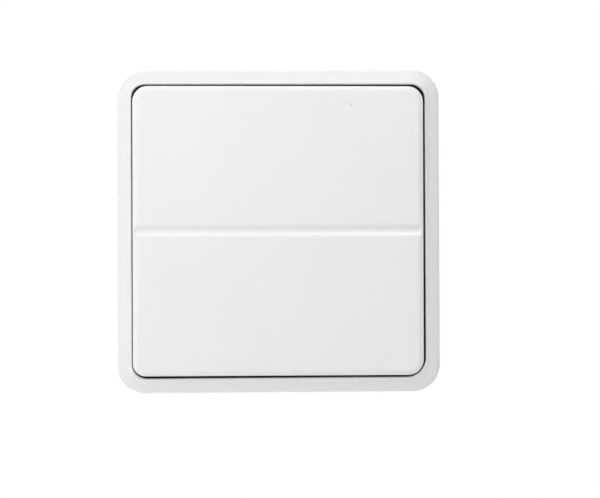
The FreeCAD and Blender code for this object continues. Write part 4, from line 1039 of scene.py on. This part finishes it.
stageLook = {
    "ambient": 0.0,
    "floorDrop": 120 * mm,
    "floorRadius": 280 * mm,
    "floorSteps": 96,
    "floorColour": (0.88, 0.88, 0.88),
    "floorRoughness": 0.7,
}

lamps = {
    # name: azimuth left of straight ahead, elevation, distance, width, watts
    "front": (15, 20, 0.7, 0.5, 0.92),
    "top": (0, 60, 0.7, 0.5, 1.73),
    "right top": (-30, 50, 0.7, 0.5, 1.70),
    "left": (60, 0, 0.7, 0.5, 0.65),
    "low left": (45, -30, 0.7, 0.5, 3.54),
    "back left": (120, 40, 0.7, 0.5, 4.89),
    "right rim": (-100, 0, 0.7, 0.5, 0.9),
    "back": (180, 10, 0.9, 0.5, 2.5),
}


def whiteWorld():
    world = bpy.data.worlds.new("white studio")
    world.use_nodes = True
    tree = world.node_tree
    tree.nodes.clear()
    out = addNode(tree, "ShaderNodeOutputWorld")
    rays = addNode(tree, "ShaderNodeLightPath").outputs
    seen = calc(tree, "MAXIMUM", rays["Is Camera Ray"], rays["Is Glossy Ray"])
    seen = calc(tree, "MAXIMUM", seen, rays["Is Transmission Ray"])
    ambient = addNode(tree, "ShaderNodeBackground", Color=(1, 1, 1, 1), Strength=stageLook["ambient"])
    white = addNode(tree, "ShaderNodeBackground", Color=(1, 1, 1, 1), Strength=1.0)
    choose = addNode(tree, "ShaderNodeMixShader")
    for socket, source in zip(choose.inputs, (seen, ambient.outputs[0], white.outputs[0])):
        tree.links.new(source, socket)
    tree.links.new(choose.outputs[0], out.inputs["Surface"])
    scene.world = world


def paleFloor():
    look = stageLook
    bm = bmesh.new()
    bmesh.ops.create_circle(bm, cap_ends=True, segments=look["floorSteps"], radius=look["floorRadius"])
    mesh = bpy.data.meshes.new("floor")
    bm.to_mesh(mesh)
    bm.free()
    mesh.transform(Matrix.Translation((0, 0, -look["floorDrop"])))
    floor = bpy.data.objects.new("floor", mesh)
    scene.collection.objects.link(floor)
    material, _, shader = newMaterial("pale floor")
    shader.inputs["Base Color"].default_value = (*look["floorColour"], 1)
    shader.inputs["Roughness"].default_value = look["floorRoughness"]
    mesh.materials.append(material)


def softLamp(name, azimuth, elevation, distance, width, watts):
    data = bpy.data.lights.new(name, "AREA")
    data.shape = "DISK"
    data.size = width
    data.energy = watts
    lamp = bpy.data.objects.new(name, data)
    turn, rise = math.radians(azimuth), math.radians(elevation)
    away = Vector((-math.sin(turn) * math.cos(rise), -math.cos(turn) * math.cos(rise), math.sin(rise)))
    lamp.location = away * distance
    lamp.rotation_mode = "QUATERNION"
    lamp.rotation_quaternion = away.to_track_quat("Z", "Y")
    scene.collection.objects.link(lamp)


# camera: the photograph's view, almost square on from a little to the left

cameraView = {
    "place": (-6.78 * mm, -350 * mm, -6.16 * mm),
    "yaw": -2.033,
    "pitch": 0.344,
    "roll": -0.256,
    "focalPixels": 1420.2,
    "imageWidth": 600,
    "sensor": 36.0,
    "nearClip": 10 * mm,
}


def makeCamera():
    look = cameraView
    yaw, pitch, roll = (math.radians(look[key]) for key in ("yaw", "pitch", "roll"))
    right = Vector((math.cos(yaw), math.sin(yaw), 0))
    ahead = Vector((-math.sin(yaw) * math.cos(pitch), math.cos(yaw) * math.cos(pitch), math.sin(pitch)))
    up = right.cross(ahead)
    tiltedRight = right * math.cos(roll) + up * math.sin(roll)
    tiltedUp = up * math.cos(roll) - right * math.sin(roll)
    data = bpy.data.cameras.new("camera")
    data.sensor_width = look["sensor"]
    data.lens = look["focalPixels"] * look["sensor"] / look["imageWidth"]
    data.clip_start = look["nearClip"]
    camera = bpy.data.objects.new("camera", data)
    turn = Matrix((tiltedRight, tiltedUp, -ahead)).transposed().to_4x4()
    camera.matrix_world = Matrix.Translation(look["place"]) @ turn
    scene.collection.objects.link(camera)
    scene.camera = camera


whiteWorld()
paleFloor()
for name, lamp in lamps.items():
    softLamp(name, *lamp)
makeCamera()
scene.view_settings.view_transform = "Standard"
print("stage set:", len(lamps), "lamps")
